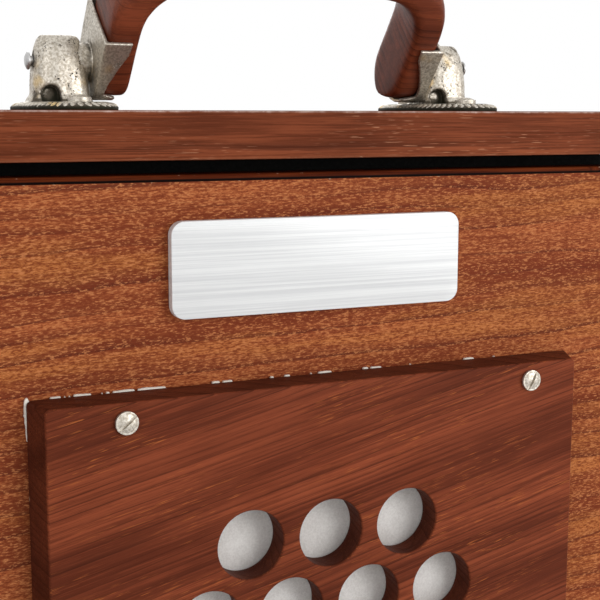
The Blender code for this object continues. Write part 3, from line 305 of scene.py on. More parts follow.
# %% The edge group
wear, given = new_group("worn edges", "ShaderNodeTree", {
    "Vector": VECTOR, "Middle": (0.0, 0.0, 0.0), "Half Size": (0.1, 0.1, 0.1), "Width": 0.001,
    "Ragged": 0.5}, {"Edge": FLOAT, "Chips": FLOAT})
inside = wear.vector("ABSOLUTE", wear.vector("SUBTRACT", given["Vector"], given["Middle"]))
x, y, z = wear.split(wear.vector("SUBTRACT", inside, given["Half Size"]))
second = wear.calc("MAXIMUM", wear.calc("MINIMUM", x, y),
                   wear.calc("MINIMUM", wear.calc("MAXIMUM", x, y), z))
ragged = (wear.noise(given["Vector"], 260.0, 4.0, 0.7) - 0.5) * given["Ragged"]
second = ragged * (given["Width"] * 2.0) + second
chips = wear.noise(given["Vector"], 420.0, 2.0, 0.6).step(0.66, 0.70)
wear.give(Edge=second.step(given["Width"] * -1.0, 0.0),
          Chips=chips * second.step(given["Width"] * -0.45, 0.0))
print("worn edges group:", len(wear.tree.nodes), "nodes")

# %% [markdown]
# Woods
#
# The planks, walls and rails are a red-brown hardwood under satin varnish, the valve board and
# the handle are the same wood cut across its rings, and the front panel is an orange veneer with
# a printed look: a fine speckle, wavy dark lines and no pores. Each board's own box feeds the
# worn edges, and a turn sets which way its grain runs.


# %% Wood colours
def wood_colours(light, dark, ring, fleck, warm=(0.5, 0.2, 0.05)):
    """The colours of one kind of wood, by the grain group's names."""
    return {"Light": light, "Dark": dark, "Ring Colour": ring, "Fleck Colour": fleck,
            "Warm Colour": warm}


REDWOOD = wood_colours((0.290, 0.074, 0.029), (0.115, 0.026, 0.010), (0.050, 0.012, 0.006),
                       (0.60, 0.29, 0.16))
BOARD_WOOD = wood_colours((0.275, 0.064, 0.027), (0.110, 0.024, 0.011), (0.045, 0.011, 0.006),
                          (0.52, 0.150, 0.040))
FRAME_WOOD = wood_colours((0.230, 0.045, 0.010), (0.075, 0.010, 0.003), (0.030, 0.004, 0.002),
                          (0.30, 0.07, 0.02))
VENEER = wood_colours((0.440, 0.125, 0.042), (0.180, 0.034, 0.013), (0.070, 0.011, 0.009),
                      (0.580, 0.215, 0.080), (0.540, 0.190, 0.050))
PLYWOOD = wood_colours((0.600, 0.430, 0.260), (0.480, 0.320, 0.180), (0.330, 0.190, 0.090),
                       (0.70, 0.55, 0.37))
# painted sheen: a pale line standing in for light caught along the planks' top arris
PAINTED_ARRIS_SHEEN = (0.72, 0.56, 0.50)
CHIPPED = (0.62, 0.40, 0.26)
# near black, for a painted shadow line
PAINTED_SHADOW_BLACK = (0.004, 0.003, 0.003)
print("kinds of wood: 5")


# %% Materials from a finish
def new_material(name):
    """A material, its tree and the object's own coordinates."""
    made = bpy.data.materials.new(name)
    made.use_nodes = True
    tree = Tree(made.node_tree)
    return made, tree, tree.out("ShaderNodeTexCoord", which="Object")


def paint(tree, values, height=None, strength=0.0, distance=0.0):
    """Feed the material's shader, and turn a height, if any, into its normal."""
    if height is not None:
        values["Normal"] = tree.out("ShaderNodeBump", {"Height": height, "Strength": strength,
                                                       "Distance": distance})
    shader = tree.tree.nodes["Principled BSDF"]
    for label, value in values.items():
        tree.set(shader.inputs[label], value)


def wood_material(name, colours, box, turned=(0.0, 0.0, 0.0), heart=(0.0, 0.25, 0.35),
                  ring=0.0022, ring_depth=0.5, line=0.5, bend=0.004, fibre=0.7, fleck=0.35,
                  speckle=0.0, warm=0.0, edge=0.0009, edge_colour=(0.34, 0.13, 0.07),
                  rubbed=0.5, gloss=0.42, shine=0.03, coat=0.0, relief=0.35, stiles=None,
                  bright=None, painted_side_shade=0.0, painted_shadow_level=None):
    """A varnished wood for one board.

    Past stiles the grain runs upright. A bright colour is a painted highlight along the upper
    arris. A side share darkens the sides with painted shade. Below a given level the board is
    painted black, as a painted shadow line.
    """
    made, tree, place = new_material(name)
    low, high = box
    x, y, z = tree.split(place)
    grain_place = place
    if stiles is not None:
        upright = tree.calc("GREATER_THAN", tree.calc("ABSOLUTE", x), stiles)
        grain_place = tree.mix_vectors(upright, place, tree.combine(z, y, x))
    grain_place = tree.out("ShaderNodeMapping", {"Vector": grain_place, "Rotation": turned})
    grain = tree.outs("ShaderNodeGroup", {
        "Vector": grain_place, "Heart": heart, "Ring Spacing": ring, "Ring Depth": ring_depth,
        "Line": line, "Bend": bend, "Fibre": fibre, "Fleck": fleck, "Speckle": speckle,
        "Warm": warm, **colours}, node_tree=wood.tree)
    edges = tree.outs("ShaderNodeGroup", {
        "Vector": place, "Middle": (low + high) / 2, "Half Size": (high - low) / 2,
        "Width": edge}, node_tree=wear.tree)
    colour = tree.mix(edges["Edge"] * rubbed, grain["Color"], edge_colour)
    colour = tree.mix(edges["Chips"], colour, CHIPPED)
    # Painted highlight: a pale tint on the upper arris stands in for the sheen of light there.
    if bright is not None:
        upper = z.step(high.z - 0.0030, high.z - 0.0010)
        colour = tree.mix(tree.calc("POWER", edges["Edge"], 3.0) * upper, colour, bright)
    # Painted shade: faces set back from the front take the ring colour, for the shade on sides and
    # top edges.
    if painted_side_shade:
        behind = y.step(low.y + 0.0003, low.y + 0.0009)
        colour = tree.mix(behind * painted_side_shade, colour, colours["Ring Colour"])
    # Painted shadow: below the level the board is near black, for the shadow where the panel meets
    # it.
    if painted_shadow_level is not None:
        colour = tree.mix(z.step(painted_shadow_level + 0.0004, painted_shadow_level), colour, PAINTED_SHADOW_BLACK)
    paint(tree, {"Base Color": colour, "Specular IOR Level": shine, "Coat Weight": coat,
                 "Coat Roughness": 0.30,
                 "Roughness": grain["Gloss"] * 0.12 + gloss + edges["Edge"] * 0.15},
          grain["Height"], relief, 0.0003)
    return made


print("material helpers ready")

# %% Woods for the plain boards
ALONG_Z = (0.0, QUARTER, 0.0)
BOARD_GRAIN = (0.0, math.radians(13), 0.0)
PANEL_GRAIN = (0.0, math.radians(2.2), 0.0)
STILES = 0.0919                  # where the pump frame's stiles start, from the middle


def finish_node(node, finish):
    """Give a plain solid its finish."""
    frame["nodes"][node].data.materials.clear()
    frame["nodes"][node].data.materials.append(finish)


# The planks carry a painted highlight along their top arris.
for node in ("top_plank", "bottom_plank", "hinge_rail", "channel_bar"):
    finish_node(node, wood_material(
        node + " wood", REDWOOD, corners(node), ring=0.0031, ring_depth=0.35, bend=0.003,
        fibre=1.0, fleck=0.7, bright=PAINTED_ARRIS_SHEEN))
for node in ("side_wall_left", "side_wall_right"):
    finish_node(node, wood_material(node + " wood", REDWOOD, corners(node), ALONG_Z,
                                    heart=(0.0, 0.09, 0.31), ring=0.0034, ring_depth=0.55))
# The pump frame is painted near black up to just over the panel's top edge: a painted shadow line.
finish_node("pump_frame", wood_material(
    "pump frame wood", FRAME_WOOD, corners("pump_frame"), ring=0.0028, stiles=STILES, fleck=0.2,
    rubbed=0.0, painted_shadow_level=PANEL_HIGH.z + 0.0003))
for node in ("valve_partition", "reservoir_board"):
    finish_node(node, wood_material(node + " ply", PLYWOOD, corners(node), heart=(0.0, 0.6, 0.5),
                                    ring=0.009, ring_depth=0.4, gloss=0.6, fleck=0.2))
# The panel's top edge is darkened with painted shade.
finish_node("front_panel", wood_material(
    "front panel veneer", VENEER, (PANEL_LOW, PANEL_HIGH), PANEL_GRAIN, heart=(0.0, 0.0, 1.1),
    ring=0.0062, ring_depth=0.42, line=0.75, bend=0.020, fibre=0.8, fleck=0.25, speckle=0.8,
    warm=0.6, edge=0.0004, rubbed=0.0, relief=0.12, painted_side_shade=0.95))
print("plain boards finished: 10")

# %% [markdown]
# Metals
#
# The handle's castings are brass under thin nickel: pitted, with a little brass showing where
# hands rub. They are bright on the high places and brown-black in the hollows and along the foot,
# which is painted shade over some grime. The screws are turned and a little dull. Noise at three
# sizes carries the rest: blotches, a fine grain, and pits where scattered points lie close. Each
# metal mixes them in its own measure.

# %% The casting group
cast, given = new_group("pitted casting", "ShaderNodeTree", {
    "Vector": VECTOR, "Foot": 0.0, "Rise": 0.018, "Grime And Shade": 0.6, "Pits": 0.7, "Worn": 0.4,
    "Hollow Shade": 0.0}, {"Color": COLOUR, "Roughness": FLOAT, "Metal": FLOAT, "Height": FLOAT})
place, hollow = given["Vector"], given["Hollow Shade"]
level = (cast.split(place)[2] - given["Foot"]) / given["Rise"]
blotch = cast.noise(place, 210.0, 4.0, 0.65)
fine = cast.noise(place, 1500.0, 3.0, 0.6)
wander = cast.out("ShaderNodeTexNoise", {"Vector": place, "Scale": 700.0, "Detail": 2.0}, "Color")
pits = cast.cells(cast.mix_vectors(0.0016, place, wander), 1250.0).step(0.36, 0.22)
pits = pits * cast.noise(place, 330.0, 3.0, 0.6).step(0.50, 0.60) * given["Pits"]
# Painted shade over some grime: darker in the hollows found by rays and low down, broken by
# blotches.
grime_and_shade = (hollow * 0.50 + (level.step(0.30, 0.0) * 0.16 + blotch)).step(0.58, 0.76)
grime_and_shade = grime_and_shade * given["Grime And Shade"]
# Painted shade, near black, deep in the hollows.
sunk_shade = (blotch * 0.3 + hollow).step(0.50, 0.85)
rubbed = cast.noise(place, 95.0, 2.0).step(0.60, 0.70) * given["Worn"]
colour = cast.mix(fine.step(0.35, 0.65), (0.70, 0.65, 0.57), (0.42, 0.37, 0.30))
for cover, tint in ((rubbed, (0.74, 0.50, 0.17)), (grime_and_shade, (0.105, 0.085, 0.060)),
                    (sunk_shade, (0.022, 0.020, 0.010)), (pits, (0.030, 0.026, 0.022))):
    colour = cast.mix(cover, colour, tint)
dull = cast.calc("MAXIMUM", cast.calc("MAXIMUM", grime_and_shade * 0.75, pits),
                 cast.calc("MAXIMUM", sunk_shade, 0.15))
cast.give(Color=colour, Metal=1.0 - dull, Height=fine * 0.25 + (blotch * 0.5 - pits),
          Roughness=pits * 0.2 + (grime_and_shade * 0.25 + (fine * 0.22 + 0.34)))
print("casting group:", len(cast.tree.nodes), "nodes")


# %% Metals
def cast_material(name, foot, rise, grime_and_shade, pits, worn, relief=0.5):
    """Cast and nickel-plated brass, darker low down and in its hollows: painted shade over some
    grime.
    """
    made, tree, place = new_material(name)
    # The stored hollows feed the painted shade.
    hollow = tree.out("ShaderNodeAttribute", which="Fac", attribute_name="hollow")
    metal = tree.outs("ShaderNodeGroup", {
        "Vector": place, "Foot": foot, "Rise": rise, "Grime And Shade": grime_and_shade, "Pits": pits, "Worn": worn,
        "Hollow Shade": hollow}, node_tree=cast.tree)
    paint(tree, {"Base Color": metal["Color"], "Roughness": metal["Roughness"],
                 "Metallic": metal["Metal"], "Specular IOR Level": 0.2},
          metal["Height"], relief, 0.0002)
    return made


def rolled_material(name, bright, dull, roughness):
    """Rolled or drawn metal with faint scratches one way and finger marks."""
    made, tree, place = new_material(name)
    lines = tree.drawn(place, (40.0, 900.0, 900.0), 3.0, 0.6)
    tone = tree.noise(place, 120.0, 3.0, 0.6) * 0.6 + lines * 0.5
    paint(tree, {"Base Color": tree.mix(tone, bright, dull), "Metallic": 1.0,
                 "Roughness": tone * 0.25 + roughness}, lines, 0.15, 0.00005)
    return made


NICKEL_PLATE = cast_material("bracket nickel", PLANK_HIGH.z, 0.020, 0.95, 1.0, 0.5)
NICKEL_RIM = cast_material("rim nickel", PLANK_HIGH.z, 0.0052, 0.9, 0.4, 0.7)
NICKEL_CLAW = cast_material("ferrule nickel", PLANK_HIGH.z, 0.030, 0.55, 0.5, 0.35)
SCREW_METAL = cast_material("screw nickel", -1.0, 0.01, 0.18, 0.10, 0.0, 0.2)
BRASS = rolled_material("brass", (0.86, 0.63, 0.27), (0.55, 0.36, 0.13), 0.26)
STEEL = rolled_material("steel", (0.72, 0.72, 0.72), (0.42, 0.41, 0.40), 0.28)
print("metals: 6")

# %% [markdown]
# The bare plate's finish
#
# A plate of brushed sheet over a dark core sits near the panel's top edge. It is left bare. The
# brushing is long fine noise along its length, in colour, roughness and relief together, and the
# cut edge shows the core, with the thin bright line of the sheet above it.

# %% Plate materials
PLATE_FACE, tree, place = new_material("brushed plate")
hair = tree.drawn(place, (9.0, 400.0, 1500.0), 5.0, 0.75)
tone = tree.drawn(place, (3.0, 100.0, 480.0), 2.0) * 0.25 + hair.step(0.36, 0.64) * 0.75
paint(tree, {"Base Color": tree.mix(tone, (0.90, 0.905, 0.90), (0.70, 0.705, 0.71)),
             "Roughness": hair * 0.18 + 0.50, "Metallic": 0.25, "Specular IOR Level": 0.2},
      hair, 0.12, 0.00005)

PLATE_CORE, tree, place = new_material("plate core")
tint = tree.noise(place, 900.0)
paint(tree, {"Base Color": tree.mix(tint, (0.010, 0.016, 0.014), (0.030, 0.042, 0.036)),
             "Roughness": tint * 0.2 + 0.55, "Specular IOR Level": 0.05})
print("plate: brushed face over a dark core")

# %% [markdown]
# Suede, leather and cloth
#
# Soft skins scatter light instead of mirroring it. Suede gets a nap: fine noise in relief, blotches
# where it was stroked, and sheen. The bellows are black cloth-backed card, grained like book cloth.
# The levers' knobs are turned bone, streaked along their length.


# %% Soft materials and bone
def napped_material(name, light, dark, nap, sheen):
    """Suede or leather with a nap."""
    made, tree, place = new_material(name)
    hairs = tree.noise(place, nap, 4.0, 0.7)
    tone = hairs * 0.55 + tree.noise(place, 90.0, 4.0, 0.6) * 0.5
    paint(tree, {"Base Color": tree.mix(tone.step(0.3, 0.8), light, dark),
                 "Roughness": hairs * 0.1 + 0.85, "Specular IOR Level": 0.15,
                 "Sheen Weight": sheen}, hairs, 0.6, 0.0003)
    return made


SUEDE = napped_material("grey suede", (0.95, 0.925, 0.89), (0.68, 0.645, 0.61), 1700.0, 0.3)
CREAM_SUEDE = napped_material("cream suede", (0.97, 0.92, 0.84), (0.82, 0.74, 0.64), 1700.0, 0.3)
SHEEPSKIN = napped_material("sheepskin", (0.72, 0.60, 0.44), (0.52, 0.40, 0.26), 600.0, 0.1)

BELLOWS_CLOTH, tree, place = new_material("bellows cloth")
pebbles = tree.cells(place, 950.0)
paint(tree, {"Base Color": tree.mix(tree.noise(place, 60.0, 3.0), (0.003, 0.003, 0.003),
                                    (0.010, 0.009, 0.008)),
             "Roughness": pebbles * 0.25 + 0.60, "Specular IOR Level": 0.08},
      pebbles, 0.5, 0.0002)

KNOB_BONE, tree, place = new_material("knob bone")
streak = tree.drawn(place, (900.0, 60.0, 900.0), 3.0)
stain = tree.noise(place, 240.0, 3.0)
tone = (stain * 0.6 + streak * 0.4).step(0.3, 0.75)
paint(tree, {"Base Color": tree.mix(tone, (0.86, 0.80, 0.66), (0.66, 0.55, 0.38)),
             "Roughness": stain * 0.2 + 0.22}, streak, 0.1, 0.0001)
print("soft materials: 4, and bone")

# %% [markdown]
# Meshes
#
# A few helpers carry all the modelling below. A loft skins equal rings of points. A refined copy
# takes a frame solid, welds its loose triangles and rounds its sharp edges over a little, which
# is all that small machined parts need.


# %% Mesh helpers
def loft(bm, rings):
    """Skin equal rings of points in order, and cap the ends."""
    made = [[bm.verts.new(point) for point in ring] for ring in rings]
    for lower, upper in zip(made, made[1:]):
        for i in range(len(lower)):
            j = (i + 1) % len(lower)
            bm.faces.new((lower[i], lower[j], upper[j], upper[i]))
    bm.faces.new(list(reversed(made[0])))
    bm.faces.new(made[-1])


def piece_from(name, bm, finishes, smooth=None):
    """A named object at the origin from a bmesh."""
    bmesh.ops.recalc_face_normals(bm, faces=bm.faces)
    mesh = bpy.data.meshes.new(name)
    bm.to_mesh(mesh)
    bm.free()
    return piece_with(name, mesh, finishes, smooth)


def set_finishes(mesh, finishes):
    """Give a mesh its materials anew."""
    mesh.materials.clear()
    for finish in finishes:
        mesh.materials.append(finish)


def linked(name, mesh, smooth=None):
    """An object round a mesh; edges sharper than smooth, in degrees, stay sharp."""
    if smooth is not None:
        mesh.shade_smooth()
        mesh.set_sharp_from_angle(angle=math.radians(smooth))
    made = bpy.data.objects.new(name, mesh)
    bpy.context.scene.collection.objects.link(made)
    return made


def piece_with(name, mesh, finishes, smooth=None):
    """A named object at the origin round a finished mesh."""
    set_finishes(mesh, finishes)
    return linked(name, mesh, smooth)


print("mesh helpers ready")


# %% Copies of plain solids
def baked(item):
    """The object's mesh as its modifiers leave it; the object itself is removed."""
    bpy.context.view_layer.update()
    graph = bpy.context.evaluated_depsgraph_get()
    mesh = bpy.data.meshes.new_from_object(item.evaluated_get(graph))
    bpy.data.objects.remove(item, do_unlink=True)
    return mesh


def modified(item, kind, **settings):
    """Add a modifier with its settings."""
    step = item.modifiers.new(kind.lower(), kind)
    for key, value in settings.items():
        setattr(step, key, value)


def place_piece(item, body, slot, *nodes):
    """Ride on a body and stand for the plain solids; slot is not used."""
    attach(item, body)
    if nodes:
        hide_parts(*nodes)
    return item


def welded(node):
    """A bmesh copy of a frame solid with its loose triangles joined."""
    bm = bmesh.new()
    bm.from_mesh(frame["nodes"][node].data)
    bmesh.ops.remove_doubles(bm, verts=bm.verts, dist=1e-6)
    return bm


def refined(node, name, finish, width, smooth=35):
    """A welded copy of a frame solid with its sharp edges rounded over."""
    bm = welded(node)
    bmesh.ops.dissolve_limit(bm, angle_limit=math.radians(1.0), verts=bm.verts, edges=bm.edges)
    item = piece_from(name, bm, [finish])
    modified(item, "BEVEL", width=width, segments=2, limit_method="ANGLE",
             angle_limit=math.radians(35))
    return piece_with(name, baked(item), [finish], smooth)


def thickened(item, finish, wall, smooth):
    """The same skin with a wall of even thickness."""
    name = item.name
    modified(item, "SOLIDIFY", thickness=wall, offset=0.0)
    return piece_with(name, baked(item), [finish], smooth)


print("copy helpers ready")


# %% Outlines
def rounded_outline(half_width, half_height, corner, middle, steps=12):
    """A rectangle with round corners, as flat points."""
    points = []
    for quarter, (side_u, side_v) in enumerate(((1, 1), (-1, 1), (-1, -1), (1, -1))):
        for k in range(steps + 1):
            angle = QUARTER * (quarter + k / steps)
            points.append((middle[0] + side_u * (half_width - corner) + corner * math.cos(angle),
                           middle[1] + side_v * (half_height - corner) + corner * math.sin(angle)))
    return points


def standing(points, y):
    """Stand flat points up at a depth."""
    return [Vector((u, y, v)) for u, v in points]


print("outline helpers ready")

# %% [markdown]
# Geometry trees
#
# Where one form comes many times, a geometry tree makes it: it takes loose points, puts the form
# on each and joins them. The result is made a plain mesh for each body, because an instance
# would be lost on export. The helpers below add the steps that every such tree takes, and run a
# tree with named values.


# %% Steps of a geometry tree
class FormTree(Tree):
    """A geometry tree with the steps that forms are made by."""

    def drum(self, sides, rises, rings, depth, fill):
        """A cylinder of radius 1, standing along Z."""
        return self.out("GeometryNodeMeshCylinder", {
            "Vertices": sides, "Side Segments": rises, "Fill Segments": rings, "Radius": 1.0,
            "Depth": depth}, "Mesh", fill_type=fill)

    def where(self):
        """Each point's three parts."""
        return self.split(self.out("GeometryNodeInputPosition"))

    def stored(self, name):
        """A number stored on the points."""
        return self.out("GeometryNodeInputNamedAttribute", {"Name": name}, data_type="FLOAT")

    def shaped(self, form, x, y, z):
        """Move each point of a form."""
        return self.out("GeometryNodeSetPosition", {"Geometry": form,
                                                    "Position": self.combine(x, y, z)})

    def moved(self, form, shift=(0.0, 0.0, 0.0), turn=(0.0, 0.0, 0.0), size=(1.0, 1.0, 1.0)):
        """Move a form as one."""
        return self.out("GeometryNodeTransform", {"Geometry": form, "Translation": shift,
                                                  "Rotation": turn, "Scale": size})

    def carved(self, form, cutter, solver="FLOAT"):
        """Take a cutter out of a form."""
        return self.out("GeometryNodeMeshBoolean", {"Mesh 1": form, "Mesh 2": cutter},
                        operation="DIFFERENCE", solver=solver)

    def joined(self, forms):
        """Several forms as one."""
        together = self.add("GeometryNodeJoinGeometry")
        for form in forms:
            self.set(together.inputs[0], form)
        return Value(self, together.outputs[0])

    def copies(self, points, form, **turn):
        """One real copy of a form on each point."""
        placed = self.out("GeometryNodeInstanceOnPoints", {"Points": points, "Instance": form,
                                                           **turn})
        return self.out("GeometryNodeRealizeInstances", {"Geometry": placed})

    def painted(self, form, finish):
        """Give a form its material."""
        return self.out("GeometryNodeSetMaterial", {"Geometry": form, "Material": finish})


print("form helper ready")


# %% Run a geometry tree
def new_form(name, inputs, output):
    """An empty geometry tree, and what comes into it by name."""
    return new_group(name, "GeometryNodeTree", inputs, {output: GEOMETRY}, FormTree)


def shed_slots(mesh):
    """Drop the material slots that no face uses."""
    used = sorted({face.material_index for face in mesh.polygons})
    indices = [used.index(face.material_index) for face in mesh.polygons]
    set_finishes(mesh, [mesh.materials[k] for k in used])
    mesh.polygons.foreach_set("material_index", indices)
    return mesh


def run_tree(tree, mesh, values):
    """Run a geometry tree on a mesh and return the result as a mesh."""
    item = linked(tree.name, mesh)
    step = item.modifiers.new(tree.name, "NODES")
    step.node_group = tree
    names = {socket.name: socket.identifier for socket in tree.interface.items_tree
             if socket.in_out == "INPUT"}
    for label, value in values.items():
        step[names[label]] = value
    return shed_slots(baked(item))


def point_mesh(name, places, turns=None):
    """Loose points, with a turn for each."""
    mesh = bpy.data.meshes.new(name)
    mesh.from_pydata([tuple(place) for place in places], [], [])
    if turns is not None:
        mesh.attributes.new("turn", "FLOAT", "POINT").data.foreach_set("value", turns)
    return mesh


print("geometry helpers ready")

# %% [markdown]
# Slotted screws
#
# Twenty-one screws show: four hold the valve board, four the handle's brackets and thirteen are
# the levers' pivots. The head is a short drum with a small bevel and a low crown, cut across by a
# slot. A cylinder with its points moved by their height gives the drum and crown, and one Boolean
# with a bar gives the slot. Each screw stopped where it was tight, so each point carries a turn.

# %% The screw tree
screw, given = new_form("slotted screws", {
    "Points": GEOMETRY, "Radius": 0.003, "Height": 0.0012, "Slot Width": 0.0007,
    "Slot Depth": 0.0006, "Facing": (0.0, 0.0, 0.0), "Metal": MATERIAL}, "Screws")
x, y, z = screw.where()
share = z + 0.5
reach = screw.calc("SQRT", x * x + y * y)
bevel = share.step(0.55, 1.0)
crown = reach * reach * (bevel * -0.34)
width = given["Radius"] * (bevel * -0.20 + 1.0)
head = screw.shaped(screw.drum(48, 10, 8, 1.0, "TRIANGLE_FAN"), x * width, y * width,
                    (share + crown) * given["Height"])
bar = screw.out("GeometryNodeMeshCube", {"Size": screw.combine(
    given["Radius"] * 3.0, given["Slot Width"], given["Slot Depth"] * 2.0)}, "Mesh")
bar = screw.moved(bar, screw.combine(0.0, 0.0, given["Height"]))
spin = screw.combine(0.0, 0.0, screw.stored("turn"))
spun = screw.out("FunctionNodeRotateEuler", {"Rotation": spin, "Rotate By": given["Facing"]},
                 space="OBJECT")
screw.give(Screws=screw.painted(screw.copies(given["Points"], screw.carved(head, bar),
                                             Rotation=spun), given["Metal"]))
print("screw tree:", len(screw.tree.nodes), "nodes")

# %% A set of screws
VALVE_HEAD, VALVE_HEAD_HEIGHT = 0.0030, 0.0013
SLOT_WIDTH, SLOT_DEPTH = 0.28, 0.55      # as shares of a head's radius and height


def add_screws(name, body, places, degrees, radius, height, facing, *nodes):
    """One set of screws on a body, each with its slot turned."""
    mesh = run_tree(screw.tree, point_mesh(name, places, [math.radians(a) for a in degrees]), {
        "Radius": radius, "Height": height, "Slot Width": radius * SLOT_WIDTH,
        "Slot Depth": height * SLOT_DEPTH, "Facing": facing, "Metal": SCREW_METAL})
    print(name, len(places), "screws,", len(mesh.polygons), "faces")
    place_piece(piece_with(name, mesh, [SCREW_METAL], 30), body, "screw_metal", *nodes)


print("slot of a valve screw: %.2f mm wide" % (VALVE_HEAD * SLOT_WIDTH * 1000))

# %% Valve board and bracket screws
FACING_FRONT, FACING_BACK, FACING_UP = (QUARTER, 0.0, 0.0), (-QUARTER, 0.0, 0.0), (0.0, 0.0, 0.0)
HEAD_LIFT = 0.0002               # wood to a screw's head
PAN_HEIGHT = 0.0019
PAN_FLOOR = 0.0019               # from a bracket's foot to its screws' heads

nodes = ["valve_screw_%d" % k for k in (1, 2, 3, 4)]
middles = [sum(corners(node), Vector()) / 2 for node in nodes]
add_screws("valve_board_screws", "pump",
           [Vector((m.x, BOARD_LOW.y - HEAD_LIFT, m.z)) for m in middles],
           (38, 62, 12, 100), VALVE_HEAD, VALVE_HEAD_HEIGHT, FACING_FRONT, *nodes)

nodes = ["bracket_screw_%d" % k for k in (1, 2, 3, 4)]
middles = [sum(corners(node), Vector()) / 2 for node in nodes]
low, high = corners(nodes[0])
floor_z = corners("bracket_left")[0].z + PAN_FLOOR
add_screws("bracket_screws", "case", [Vector((m.x, m.y, floor_z)) for m in middles],
           (20, 75, 130, 50), (high.x - low.x) / 2, PAN_HEIGHT, FACING_UP, *nodes)

# %% [markdown]
# Boards with holes
#
# The valve board has nineteen air holes on a hexagon and the reed board thirteen under the
# levers. Each hole's rim is eased, so the cutter is a drum that flares at both faces. Loose
# points marked as holes travel in the board's own mesh; the tree puts a cutter on each and takes
# them all out in one Boolean. Rays sent through the holes afterwards show that they are open.

# %% The perforated board tree
bored, given = new_form("bored board", {
    "Board": GEOMETRY, "Radius": 0.0095, "Thickness": 0.012, "Ease": 0.0006, "Wood": MATERIAL},
    "Bored")
STRAIGHT, FLARED = 0.42, 0.43    # shares of the drum's half height
x, y, z = bored.where()
climb = bored.calc("ABSOLUTE", z)
arc = bored.calc("DIVIDE", climb - STRAIGHT, FLARED, clamp=True) * QUARTER
tall = (bored.calc("DIVIDE", climb, STRAIGHT, clamp=True) * (given["Thickness"] / 2.0
                                                            - given["Ease"])
        + bored.calc("SINE", arc) * given["Ease"]
        + bored.calc("GREATER_THAN", climb, 0.9) * given["Ease"])
width = given["Radius"] + (1.0 - bored.calc("COSINE", arc)) * given["Ease"]
cutter = bored.shaped(bored.drum(72, 14, 1, 2.0, "NGON"), x * width,
                      tall * bored.calc("SIGN", z) * -1.0, y * width)
parted = bored.outs("GeometryNodeSeparateGeometry", {
    "Geometry": given["Board"], "Selection": bored.calc("GREATER_THAN", bored.stored("hole"), 0.5)},
    domain="POINT")
board = bored.carved(parted["Inverted"], bored.copies(parted["Selection"], cutter), "EXACT")
bored.give(Bored=bored.painted(board, given["Wood"]))
print("bored board tree:", len(bored.tree.nodes), "nodes")

# %% Bore a board
RAYS_PER_HOLE = 12
CUT_OFFSET = 0.00031             # a hole's middle to the cut line, clear of the drum's corners


def skin_of(mesh):
    """A mesh's surface, to send rays at."""
    return BVHTree.FromPolygons([vert.co for vert in mesh.vertices],
                                [face.vertices for face in mesh.polygons])


def open_holes(mesh, holes, radius, thickness):
    """How many holes are open over their whole width, by rays sent through them."""
    skin = skin_of(mesh)
    count = 0
    for place in holes:
        start = place - Vector((0.0, thickness, 0.0))
        angles = (4 * QUARTER * k / RAYS_PER_HOLE for k in range(RAYS_PER_HOLE))
        starts = [start] + [start + Vector((math.cos(angle), 0.0, math.sin(angle))) * radius * 0.8
                            for angle in angles]
        count += all(skin.ray_cast(point, Vector((0.0, 1.0, 0.0)), 2 * thickness)[0] is None
                     for point in starts)
    return count


def bored_board(name, bm, holes, radius, thickness, ease, finish):
    """A board with eased holes through its thickness.

    The board is first cut along lines through the holes, so no face has a hole inside it.
    """
    bmesh.ops.recalc_face_normals(bm, faces=bm.faces)
    for axis, normal in ((0, Vector((1.0, 0.0, 0.0))), (2, Vector((0.0, 0.0, 1.0)))):
        for level in sorted({round(place[axis], 7) for place in holes}):
            bmesh.ops.bisect_plane(bm, geom=bm.verts[:] + bm.edges[:] + bm.faces[:],
                                   plane_co=normal * (level + CUT_OFFSET), plane_no=normal)
    for place in holes:
        bm.verts.new(place)
    marks = [0.0 if vert.link_faces else 1.0 for vert in bm.verts]
    mesh = bpy.data.meshes.new(name)
    bm.to_mesh(mesh)
    bm.free()
    mesh.attributes.new("hole", "FLOAT", "POINT").data.foreach_set("value", marks)
    made = run_tree(bored.tree, mesh, {"Radius": radius, "Thickness": thickness, "Ease": ease,
                                       "Wood": finish})
    print(name, len(holes), "holes,", open_holes(made, holes, radius, thickness), "open,",
          len(made.polygons), "faces")
    return piece_with(name, made, [finish], 35)


# %% Valve board
HOLE_RADIUS = 0.0095
HOLE_PITCH = 0.0237
HOLE_ROWS = (3, 4, 5, 4, 3)
HOLE_EASE = 0.0004
BOARD_CORNER = 0.0015
BOARD_ARRIS = 0.0006
ARRIS_STEPS = 6
PLAIN_ARRIS = 0.0005             # of the plain board, past its flat face

face_points = [v.co for v in frame["nodes"]["valve_board"].data.vertices
               if v.co.y < BOARD_LOW.y + 1e-5]
face_x, face_z = ((max(p[axis] for p in face_points) - min(p[axis] for p in face_points)) / 2
                  + PLAIN_ARRIS for axis in (0, 2))
board_middle = (BOARD_LOW + BOARD_HIGH) / 2
flap_low, flap_high = corners("inlet_flap")
holes_middle = (flap_low + flap_high) / 2
holes_middle.y = board_middle.y


def sloping_board(bm):
    """The valve board: its edges slope in towards its face and its front arrises are eased."""
    middle = (board_middle.x, board_middle.z)
    back = (BOARD_HIGH - BOARD_LOW) / 2
    rings = [standing(rounded_outline(back.x, back.z, BOARD_CORNER, middle), BOARD_HIGH.y)]
    for k in range(ARRIS_STEPS + 1):
        angle = QUARTER * k / ARRIS_STEPS
        inset = BOARD_ARRIS * (1 - math.cos(angle))
        rings.append(standing(
            rounded_outline(face_x - inset, face_z - inset, BOARD_CORNER - inset, middle),
            BOARD_LOW.y + BOARD_ARRIS * (1 - math.sin(angle))))
    loft(bm, rings)


